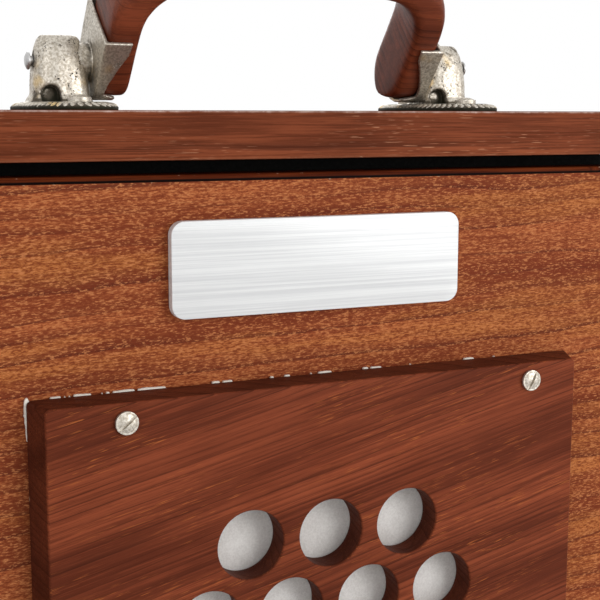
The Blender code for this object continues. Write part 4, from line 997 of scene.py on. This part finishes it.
rise = HOLE_PITCH * math.sin(math.radians(60))
holes = [holes_middle + Vector(((k - (count - 1) / 2) * HOLE_PITCH, 0.0,
                                ((len(HOLE_ROWS) - 1) / 2 - row) * rise))
         for row, count in enumerate(HOLE_ROWS) for k in range(count)]
bm = bmesh.new()
sloping_board(bm)
# The board's sides and top are darkened with painted shade, and its arrises by a dark edge colour.
finish = wood_material(
    "valve board wood", BOARD_WOOD, (BOARD_LOW, BOARD_HIGH), BOARD_GRAIN,
    heart=(0.0, -0.075, 0.30), ring=0.0021, ring_depth=0.32, bend=0.006, fibre=0.75, fleck=0.6,
    edge=0.0012, edge_colour=(0.10, 0.022, 0.012), rubbed=0.25, gloss=0.40, painted_side_shade=0.62)
place_piece(bored_board("valve_board_wood", bm, holes, HOLE_RADIUS, BOARD_HIGH.y - BOARD_LOW.y,
                        HOLE_EASE, finish), "pump", "dark_wood", "valve_board")

# %% [markdown]
# Suede behind the board
#
# Suede lies between the valve board and the panel, and a loose flap of it covers the inlet. The
# gasket was cut by hand: it peeps out as a pale line at the board's upper left corner and in
# flecks along the top. Its outline is the board's, pushed out by noise and by a bulge there.

# %% The gasket's outline
CUT_BACK = 0.0016                # the gasket's edge behind the board's, where it doesn't show
CORNER_BULGE = 0.0009
BULGE_LENGTH = 0.011
TATTERS = ((0.012, 0.0), (0.032, 0.10), (0.110, -0.12), (0.140, -0.30))  # how much shows, by place
OUTLINE_STEP = 0.0006
WINDOW_GAP = 0.0035              # from the flap to the opening in the gasket


def gasket_overhang(x, z):
    """How far the suede stands past the board at a point of its edge."""
    ragged = noise.noise(Vector((x * 330.0, 3.0, z * 330.0)))
    fine = noise.noise(Vector((x * 1100.0, 7.0, z * 1100.0)))
    if x < BOARD_LOW.x + BOARD_CORNER:
        down = (BOARD_HIGH.z - z) / BULGE_LENGTH
        if down < 1.0:
            return CORNER_BULGE * (1.0 - down) ** 0.6 * (0.8 + 0.4 * fine) - 0.0002
        return -CUT_BACK
    shows = next((level for place, level in TATTERS if x - BOARD_LOW.x < place), -1.0)
    if z < board_middle.z or ragged + 0.4 * fine + shows < 0.0:
        return -CUT_BACK
    return 0.0002 + 0.0004 * max(0.0, ragged + shows) + 0.0001 * fine


half_width = (BOARD_HIGH.x - BOARD_LOW.x) / 2
half_height = (BOARD_HIGH.z - BOARD_LOW.z) / 2
outline = []
corner_points = rounded_outline(half_width, half_height, BOARD_CORNER,
                                (board_middle.x, board_middle.z), 6)
for (u, v), (next_u, next_v) in zip(corner_points, corner_points[1:] + corner_points[:1]):
    count = max(1, round(math.hypot(next_u - u, next_v - v) / OUTLINE_STEP))
    for k in range(count):
        x = u + (next_u - u) * k / count
        z = v + (next_v - v) * k / count
        out = Vector((x - board_middle.x, z - board_middle.z))
        side_x = 1.0 if abs(out.x) > half_width - BOARD_CORNER else 0.0
        side_z = 1.0 if abs(out.y) > half_height - BOARD_CORNER else 0.0
        push = gasket_overhang(x, z)
        outline.append((x + math.copysign(side_x, out.x) * push,
                        z + math.copysign(side_z, out.y) * push))
window = [(holes_middle.x + u * (flap_high.x + WINDOW_GAP), holes_middle.z + v * (
    (flap_high.z - flap_low.z) / 2 + WINDOW_GAP)) for u, v in ((1, 1), (-1, 1), (-1, -1), (1, -1))]
print("gasket outline points:", len(outline))

# %% Suede gasket
gasket_low, gasket_high = corners("valve_gasket")
bm = bmesh.new()
layers = []
for depth in (gasket_high.y, gasket_low.y):
    rings = [[bm.verts.new(point) for point in standing(line, depth)] for line in (outline, window)]
    edges = [bm.edges.new((ring[i], ring[(i + 1) % len(ring)]))
             for ring in rings for i in range(len(ring))]
    bmesh.ops.triangle_fill(bm, use_beauty=True, use_dissolve=False, edges=edges)
    layers.append(rings)
for behind, front in zip(*layers):
    for i in range(len(behind)):
        j = (i + 1) % len(behind)
        bm.faces.new((behind[i], behind[j], front[j], front[i]))
gasket = piece_from("suede_gasket", bm, [CREAM_SUEDE])
place_piece(gasket, "pump", "suede", "valve_gasket")


# %% The inlet flap
def rippled_skin(name, node, finish, cells, depth, ripple, wall):
    """A thin skin in a node's place; ripple is its waves to a metre, their place and height."""
    low, high = corners(node)
    size = high - low
    waves, shift, height = ripple
    bm = bmesh.new()
    bmesh.ops.create_grid(bm, x_segments=cells[0], y_segments=cells[1], size=0.5)
    for vert in bm.verts:
        x = low.x + (vert.co.x + 0.5) * size.x
        z = low.z + (vert.co.y + 0.5) * size.z
        wave = noise.noise(Vector((x * waves, shift, z * waves))) * height
        vert.co = Vector((x, depth + wave, z))
    return thickened(piece_from(name, bm, [finish], 60), finish, wall, 60), size


flap, size = rippled_skin("suede_flap", "inlet_flap", SUEDE, (48, 48), flap_high.y - 0.00035,
                          (45.0, 0.0, 0.00022), 0.0004)
place_piece(flap, "pump", "suede", "inlet_flap")
print("inlet flap", [round(v * 1000, 1) for v in size], "mm")

# %% [markdown]
# The plate and the castings
#
# The plate is a cushioned block whose faces take the sheet or the core by their depth. The
# brackets and the handle's claws are sand castings: their solids are remeshed fine, smoothed so
# that every edge is soft, and pitted by moving points along their normals.

# %% The bare plate
SHEET = 0.0004                   # depth of the bright sheet over the dark core
PLATE_CORNER = 0.0036
PLATE_FRONT = ((0.0, SHEET), (0.0, 0.00012), (0.00005, 0.00005), (0.00013, 0.0))  # inset and depth

plate_low, plate_high = corners("name_plate")
middle, half = (plate_low + plate_high) / 2, (plate_high - plate_low) / 2
bm = bmesh.new()
loft(bm, [standing(rounded_outline(half.x - inset, half.z - inset, PLATE_CORNER - inset,
                                   (middle.x, middle.z)), depth)
          for inset, depth in [(0.0, plate_high.y)] + [(inset, plate_low.y + depth)
                                                       for inset, depth in PLATE_FRONT]])
for face in bm.faces:
    face.material_index = 0 if face.calc_center_median().y < plate_low.y + SHEET else 1
place_piece(piece_from("plate_bare", bm, [PLATE_FACE, PLATE_CORE], 40), "pump", "plate_metal",
            "name_plate")
print("plate %.1f by %.1f mm" % (half.x * 2000, half.z * 2000))

# %% Painted shade in the hollows of a casting
HOLLOW_REACH = 0.0045            # how far a point looks for metal over it
HOLLOW_RAYS = 6
HOLLOW_GAIN = 1.7
RAY_LIFT = 0.0002                # where the rays start, over the skin
RAY_UP, RAY_OUT = 0.6, 0.8       # their lean
FOOT_SHADE = 0.0026              # painted shade, with some grime, reaches this high above the plate's foot
FOOT_DARK = 0.95


def store_hollow_shade(mesh, foot):
    """Mark each point with how far the metal round it closes it in, for the painted shade."""
    skin = skin_of(mesh)
    marks = []
    for vert in mesh.vertices:
        across = vert.normal.orthogonal().normalized()
        along = vert.normal.cross(across)
        start = vert.co + vert.normal * RAY_LIFT
        shut = 0.0
        for k in range(HOLLOW_RAYS):
            angle = 4 * QUARTER * k / HOLLOW_RAYS
            aim = (vert.normal * RAY_UP
                   + (across * math.cos(angle) + along * math.sin(angle)) * RAY_OUT)
            far = skin.ray_cast(start, aim, HOLLOW_REACH)[3]
            shut += 1.0 - far / HOLLOW_REACH if far is not None else 0.0
        # Painted shade near the foot.
        low_down = max(0.0, FOOT_DARK - (vert.co.z - foot) / FOOT_SHADE)
        marks.append(min(1.0, max(HOLLOW_GAIN * shut / HOLLOW_RAYS, low_down)))
    mesh.attributes.new("hollow", "FLOAT", "POINT").data.foreach_set("value", marks)


print("rays from each point of a casting:", HOLLOW_RAYS)

# %% Castings
SINK = 0.00027                   # the brackets' feet are let down on to the plank


def casting(node, name, finish, voxel, smoothing, pit, seed, sink=0.0):
    """A cast copy of a frame solid: soft edges and a pitted skin."""
    item = piece_from(name, welded(node), [finish])
    modified(item, "REMESH", mode="VOXEL", voxel_size=voxel)
    modified(item, "SMOOTH", factor=0.5, iterations=smoothing)
    mesh = baked(item)
    shift = Vector((seed, 0.0, 0.0))
    normals = [vert.normal.copy() for vert in mesh.vertices]
    foot = min(vert.co.z for vert in mesh.vertices)
    for vert, normal in zip(mesh.vertices, normals):
        if vert.co.z < foot + sink:
            vert.co.z -= sink
            continue
        lump = noise.noise(vert.co * 160.0 + shift) * 0.8
        grain = noise.noise(vert.co * 900.0 + shift)
        hollow = min(0.0, noise.noise(vert.co * 520.0 + shift) + 0.22) * 2.2
        vert.co += normal * pit * (lump + 0.4 * grain + hollow)
    # Each point is marked for the painted shade of its hollows and foot.
    store_hollow_shade(mesh, PLANK_HIGH.z)
    print(name, len(mesh.polygons), "faces")
    return piece_with(name, mesh, [finish], 180)


for side, seed in zip(SIDES, (3.0, 11.0)):
    node = "bracket_" + side
    place_piece(casting(node, "bracket_casting_" + side, NICKEL_PLATE, 0.00030, 6, 0.00010, seed,
                        SINK), "case", "nickel", node)
    node = "ferrule_" + side
    place_piece(casting(node, "handle_claw_" + side, NICKEL_CLAW, 0.00026, 4, 0.00005, seed + 5.0),
                "handle", "nickel", node)

# %% [markdown]
# Gadrooned rim
#
# The sloping rim of each bracket's plate is cast in gadroons: long beads side by side that point
# to the middle. They follow the plate's oval, so a curve carries them: the tree resamples the oval
# to one point for each bead, turns each along the curve and tips it to the slope.

# %% The rim tree
rim, given = new_form("gadrooned rim", {
    "Oval": GEOMETRY, "Beads": 64, "Bead Length": 0.00085, "Bead Width": 0.0015,
    "Bead Height": 0.0007, "Slope": 0.38, "Metal": MATERIAL}, "Rim")
BEAD_TURN = 0.35
path = rim.out("GeometryNodeMeshToCurve", {"Mesh": given["Oval"]})
path = rim.out("GeometryNodeResampleCurve", {"Curve": path, "Count": given["Beads"]})
bead = rim.moved(rim.out("GeometryNodeMeshIcoSphere", {"Radius": 1.0, "Subdivisions": 3}, "Mesh"),
                 size=rim.combine(given["Bead Length"], given["Bead Width"], given["Bead Height"]))
bead = rim.moved(bead, turn=rim.combine(given["Slope"], 0.0, BEAD_TURN))
aim = rim.out("FunctionNodeAlignEulerToVector", {"Vector": rim.out("GeometryNodeInputTangent")},
              axis="X")
rim.give(Rim=rim.painted(rim.copies(path, bead, Rotation=aim), given["Metal"]))
print("rim tree:", len(rim.tree.nodes), "nodes")

# %% Rims of both brackets
OVAL_POWER = 2.2
OVAL_POINTS = 120
RIM_WIDTH = 0.0030
RIM_RISE = 0.0009                # foot of the plate to the beads' middle


def squarish(part):
    """A circle's sine or cosine, pushed out towards a rectangle's."""
    return math.copysign(abs(part) ** (2 / OVAL_POWER), part)


for side in SIDES:
    low, high = corners("bracket_" + side)
    middle, half = (low + high) / 2, (high - low) / 2
    angles = [4 * QUARTER * k / OVAL_POINTS for k in range(OVAL_POINTS)]
    ring = [(middle.x + squarish(math.cos(angle)) * (half.x - RIM_WIDTH / 2),
             middle.y + squarish(math.sin(angle)) * (half.y - RIM_WIDTH / 2), low.z + RIM_RISE)
            for angle in angles]
    oval = bpy.data.meshes.new("oval")
    oval.from_pydata(ring, [(k, (k + 1) % OVAL_POINTS) for k in range(OVAL_POINTS)], [])
    mesh = run_tree(rim.tree, oval, {"Metal": NICKEL_RIM})
    place_piece(piece_with("gadroon_rim_" + side, mesh, [NICKEL_RIM], 60), "case", "nickel")
    print("gadroon rim", side, len(mesh.polygons), "faces")

# %% [markdown]
# The bow handle
#
# The grip was shaped with a spokeshave and rubbed smooth, so its solid only needs a subdivision
# surface, creased at the feet where they are cut square. Its grain runs along the top, and across
# the bent legs, as in a bow cut from one board.

# %% Handle and small metal parts
FOOT_HEIGHT = 0.004
SHARP, CREASED = 0.6, 0.9        # the angle of an edge that is kept, and how firmly
SMALL_EASE = 0.00015

bm = welded("handle_grip")
crease = bm.edges.layers.float.new("crease_edge")
foot_level = min(vert.co.z for vert in bm.verts) + FOOT_HEIGHT
for edge in bm.edges:
    if max(vert.co.z for vert in edge.verts) < foot_level and edge.calc_face_angle(0.0) > SHARP:
        edge[crease] = CREASED
grip = piece_from("grip_wood", bm, [])
modified(grip, "SUBSURF", levels=2, render_levels=2)
finish = wood_material("grip wood", BOARD_WOOD, corners("handle_grip"), (0.3, 0.0, 0.0),
                       heart=(0.0, 0.12, 0.22), ring=0.0024, fibre=0.5, fleck=0.4, edge=0.0001,
                       rubbed=0.0, gloss=0.40, shine=0.15, coat=0.08, relief=0.2)
place_piece(piece_with("grip_wood", baked(grip), [finish], 180), "handle", "dark_wood",
            "handle_grip")

for side in SIDES:
    for node, name, finish, slot, body in (
            ("handle_pin_", "pin_rod_", STEEL, "steel", "case"),
            ("hinge_pin_", "hinge_rod_", STEEL, "steel", "case"),
            ("hinge_leaf_fixed_", "rail_leaf_", BRASS, "brass", "case"),
            ("hinge_leaf_moving_", "pump_leaf_", BRASS, "brass", "pump")):
        place_piece(refined(node + side, name + side, finish, SMALL_EASE), body, slot,
                    node + side)
    finish_node("reed_plate_" + side, BRASS)
print("handle, pins and hinges made")

# %% [markdown]
# Reed board and levers
#
# Behind, each reed has a hole, and a wooden lever with a bone knob swings over it on a screw. A
# lever's outline is the hull round two discs, so the tree asks for just that, with the discs
# stepped to ease the edges. The knob is a drum whose radius follows a drawn curve. One tree makes
# all thirteen, one lever for each body.

# %% The lever tree
HEAD_RADIUS, TAIL_RADIUS, KNOB_HEIGHT = 0.0075, 0.0052, 0.0095
lever, given = new_form("lever and knob", {
    "Pivot": GEOMETRY, "Reach": 0.024, "Head": HEAD_RADIUS, "Tail": TAIL_RADIUS,
    "Thickness": 0.003, "Ease": 0.0005, "Bore": 0.00165, "Knob Radius": 0.0046,
    "Knob Height": KNOB_HEIGHT, "Wood": MATERIAL, "Bone": MATERIAL}, "Lever")
STOOD_UP = (QUARTER, 0.0, 0.0)   # turned from Z to the depth of the box
thick, ease = given["Thickness"], given["Ease"]


def eased_disc(radius, across):
    """The rings of a disc with eased edges, on the XZ plane and rising along Y."""
    return [lever.moved(lever.out("GeometryNodeMeshCircle", {"Vertices": 64, "Radius": size}),
                        lever.combine(across, depth, 0.0), STOOD_UP)
            for size, depth in ((radius - ease, 0.0), (radius, ease), (radius, thick - ease),
                                (radius - ease, thick))]


rings = eased_disc(given["Head"], given["Reach"]) + eased_disc(given["Tail"], 0.0)
arm = lever.out("GeometryNodeConvexHull", {"Geometry": lever.joined(rings)})
bore = lever.out("GeometryNodeMeshCylinder", {"Vertices": 32, "Radius": given["Bore"],
                                              "Depth": thick * 3.0}, "Mesh")
bore = lever.moved(bore, turn=STOOD_UP)
arm = lever.carved(lever.painted(arm, given["Wood"]), lever.painted(bore, given["Wood"]))
print("arm:", len(lever.tree.nodes), "nodes")

# %% The turned knob
KNOB_PROFILE = ((0.0, 0.78), (0.08, 0.80), (0.16, 0.62), (0.34, 0.50), (0.52, 0.72), (0.70, 0.99),
                (0.84, 0.92), (0.95, 0.60), (1.0, 0.36))
x, y, z = lever.where()
share = z + 0.5
drawn = lever.add("ShaderNodeFloatCurve", {"Value": share})
curve = drawn.mapping.curves[0]
curve.points[0].location = KNOB_PROFILE[0]
curve.points[1].location = KNOB_PROFILE[-1]
for place in KNOB_PROFILE[1:-1]:
    curve.points.new(*place)
drawn.mapping.update()
width = Value(lever, drawn.outputs[0]) * given["Knob Radius"]
knob = lever.shaped(lever.drum(40, 24, 4, 1.0, "TRIANGLE_FAN"), x * width,
                    share * given["Knob Height"] + thick, y * width * -1.0)
knob = lever.painted(lever.moved(knob, lever.combine(given["Reach"], 0.0, 0.0)), given["Bone"])
lever.give(Lever=lever.copies(given["Pivot"], lever.joined((arm, knob))))
print("lever and knob:", len(lever.tree.nodes), "nodes")

# %% Thirteen levers
LEVER_COUNT = 13
lever_low, lever_high = corners("lever_01")
thickness = lever_high.y - lever_low.y - KNOB_HEIGHT
pivots = [joint_place("tone_%02d_turn" % (k + 1)) for k in range(LEVER_COUNT)]
for k, pivot in enumerate(pivots):
    node = "lever_%02d" % (k + 1)
    low, high = corners(node)
    reach = math.copysign(high.x - low.x - HEAD_RADIUS - TAIL_RADIUS, pivot.x)
    finish = wood_material(node + " wood", BOARD_WOOD, (low, high),
                           heart=(0.0, 0.15 + 0.013 * k, 0.9 - 0.11 * k), ring=0.0019, fibre=0.5,
                           fleck=0.25, edge=0.0004, rubbed=0.0, gloss=0.32, shine=0.2, coat=0.2)
    mesh = run_tree(lever.tree, point_mesh(node, [Vector((pivot.x, low.y, pivot.z))]), {
        "Reach": reach, "Thickness": thickness, "Knob Height": KNOB_HEIGHT, "Wood": finish,
        "Bone": KNOB_BONE})
    place_piece(linked("lever_and_knob_%02d" % (k + 1), mesh, 28), "tone_%02d" % (k + 1),
                "lever_wood", node)
print("levers:", len(pivots), "with", len(mesh.polygons), "faces each")

# %% Reed board with its pivot screws
SCREW_SEAT = 0.0003
PIVOT_HEAD, PIVOT_HEAD_HEIGHT = 0.0034, 0.0017
REED_HOLE, REED_HOLE_EASE = 0.0045, 0.0005
HOLE_REACH = 0.024               # from a lever's pivot to the hole under its knob
REED_CORNER = 0.0006
board_back = lever_low.y - SCREW_SEAT
holes = [Vector((p.x + math.copysign(HOLE_REACH, p.x), (REED_LOW.y + board_back) / 2, p.z))
         for p in pivots]
middle, half = (REED_LOW + REED_HIGH) / 2, (REED_HIGH - REED_LOW) / 2
outline = rounded_outline(half.x, half.z, REED_CORNER, (middle.x, middle.z), 2)
bm = bmesh.new()
loft(bm, [standing(outline, REED_LOW.y), standing(outline, board_back)])
finish = wood_material("reed board wood", REDWOOD,
                       (REED_LOW, Vector((REED_HIGH.x, board_back, REED_HIGH.z))), ALONG_Z,
                       heart=(0.0, 0.10, 0.06), ring=0.0036, fibre=0.5)
place_piece(bored_board("reed_board_wood", bm, holes, REED_HOLE, board_back - REED_LOW.y,
                        REED_HOLE_EASE, finish), "case", "case_wood", "reed_board")
seat = lever_low.y + thickness + SCREW_SEAT
add_screws("lever_screws", "case", [Vector((p.x, seat, p.z)) for p in pivots],
           [30 + 47 * k for k in range(LEVER_COUNT)], PIVOT_HEAD, PIVOT_HEAD_HEIGHT, FACING_BACK)

# %% [markdown]
# Bellows
#
# A bellows is a zigzag swept round a rectangle with rounded corners. The tree draws the zigzag
# from its number of folds and sweeps it. The pump's bellows lie between the case and the pump
# board. The reservoir inside has the same form in leather.

# %% The bellows tree
pleats, given = new_form("pleated bellows", {
    "Seed Point": GEOMETRY, "Width": 0.2, "Height": 0.25, "Depth": 0.014, "Fold Depth": 0.012,
    "Folds": 5, "Corner": 0.003, "Cloth": MATERIAL}, "Bellows")
FOLD_STEPS = 4.0                 # points from one crease to the next
rails = pleats.out("GeometryNodeCurvePrimitiveQuadrilateral", {"Width": given["Width"],
                                                               "Height": given["Height"]})
rails = pleats.out("GeometryNodeFilletCurve", {"Curve": rails, "Radius": given["Corner"],
                                               "Count": 6, "Limit Radius": True}, mode="POLY")
rows = given["Folds"] * 2.0
strip = pleats.out("GeometryNodeMeshLine", {"Count": rows * FOLD_STEPS + 1.0}, mode="OFFSET")
fold = pleats.out("GeometryNodeInputIndex") / FOLD_STEPS
swing = pleats.calc("PINGPONG", fold, 1.0)
eased = (1.0 - pleats.calc("COSINE", swing * math.pi)) * 0.5
crease = swing * 0.65 + eased * 0.35
strip = pleats.shaped(strip, (crease - 1.0) * given["Fold Depth"],
                      (fold / rows - 0.5) * given["Depth"], 0.0)
skin = pleats.out("GeometryNodeCurveToMesh", {
    "Curve": rails, "Profile Curve": pleats.out("GeometryNodeMeshToCurve", {"Mesh": strip})})
skin = pleats.copies(given["Seed Point"], pleats.moved(skin, turn=STOOD_UP))
pleats.give(Bellows=pleats.painted(skin, given["Cloth"]))
print("bellows tree:", len(pleats.tree.nodes), "nodes")


# %% Two bellows
def bellows(name, low, high, folds, fold_depth, cloth, wall):
    """A pleated skin whose outer folds touch a box."""
    mesh = run_tree(pleats.tree, point_mesh(name, [(low + high) / 2]), {
        "Width": high.x - low.x - wall, "Height": high.z - low.z - wall,
        "Depth": high.y - low.y - 2 * wall, "Fold Depth": fold_depth, "Folds": folds,
        "Cloth": cloth})
    item = thickened(piece_with(name, mesh, [cloth]), cloth, wall, 50)
    print(name, len(item.data.polygons), "faces")
    return item


def place_between(item, node):
    """Stand for a solid, with the piece baked where it stands."""
    low, high = corners(node)
    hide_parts(node)
    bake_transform(item)


FOLD_GAP = 0.0005                # folds to the rail below them
PLANK_GAP = 0.0010               # folds to the plank above them
FOLD_STAND = 0.0025              # folds past the sides of the pump board
low, high = corners("pump_bellows")
frame_low, frame_high = corners("pump_frame")
low = Vector((frame_low.x - FOLD_STAND, low.y, corners("hinge_rail")[1].z + FOLD_GAP))
high = Vector((frame_high.x + FOLD_STAND, high.y, PLANK_LOW.z - PLANK_GAP))
place_between(bellows("pump_pleats", low, high, 5, 0.0115, BELLOWS_CLOTH, 0.0007),
              "pump_bellows")
place_between(bellows("reservoir_pleats", *corners("reservoir_bellows"), 2, 0.0056, SHEEPSKIN,
                      0.0006), "reservoir_bellows")

# %% Check flap and springs
flap_low, flap_high = corners("check_flap")
check, size = rippled_skin("leather_flap", "check_flap", SHEEPSKIN, (40, 8),
                           (flap_low.y + flap_high.y) / 2, (60.0, 5.0, 0.00015), 0.0008)
place_piece(check, "case", "leather", "check_flap")

for side in SIDES:
    node = "reservoir_spring_" + side
    place_between(refined(node, "spring_wire_" + side, STEEL, 0.00005, 60), node)
print("soft parts and springs made")

# %% [markdown]
# Light and floor
#
# The picture has a white surround and a broad soft light from the right, level with the box: the
# undersides and left walls of the holes stay dark. The world is white to the camera and in
# reflections, and plain grey as a light, so the woods keep the colours they were given.

# %% Floor and world
WORLD_LIGHT = 0.42
bpy.ops.mesh.primitive_plane_add(size=6.0, location=(0.0, 0.0, -0.0002))
floor = bpy.context.object
floor.name = "floor"
finish, tree, place = new_material("pale floor")
mottle = tree.noise(place, 3.0, 3.0)
paint(tree, {"Base Color": tree.mix(mottle, (0.86, 0.86, 0.86), (0.90, 0.90, 0.90)),
             "Roughness": 0.9})
floor.data.materials.append(finish)

world = bpy.data.worlds.new("studio")
bpy.context.scene.world = world
world.use_nodes = True
world.node_tree.nodes.clear()
tree = Tree(world.node_tree)
rays = tree.outs("ShaderNodeLightPath")
seen = tree.calc("MAXIMUM", rays["Is Camera Ray"], tree.calc(
    "MAXIMUM", rays["Is Glossy Ray"], rays["Is Transmission Ray"]))
strength = tree.out("ShaderNodeMapRange", {0: seen, 3: WORLD_LIGHT})
sky = tree.out("ShaderNodeBackground", {"Color": (1.0, 1.0, 1.0), "Strength": strength})
tree.add("ShaderNodeOutputWorld", {"Surface": sky})
print("world:", len(world.node_tree.nodes), "nodes")

# %% Lamps
LAMP_AIM = Vector((0.0, 0.0, 0.2))
for name, place, size, watts in (("key", (0.75, -1.05, 0.55), 0.8, 9.0),
                                 ("fill", (-0.9, -0.9, 0.7), 0.9, 2.6),
                                 ("back", (0.3, 1.2, 0.8), 0.9, 6.0)):
    data = bpy.data.lights.new(name, "AREA")
    data.energy, data.size = watts, size
    lamp = bpy.data.objects.new(name, data)
    turn = (LAMP_AIM - Vector(place)).to_track_quat("-Z", "Y").to_matrix().to_4x4()
    lamp.matrix_world = Matrix.Translation(place) @ turn
    bpy.context.scene.collection.objects.link(lamp)
    print("lamp", name, watts, "W")
bpy.context.scene.view_settings.view_transform = "Standard"
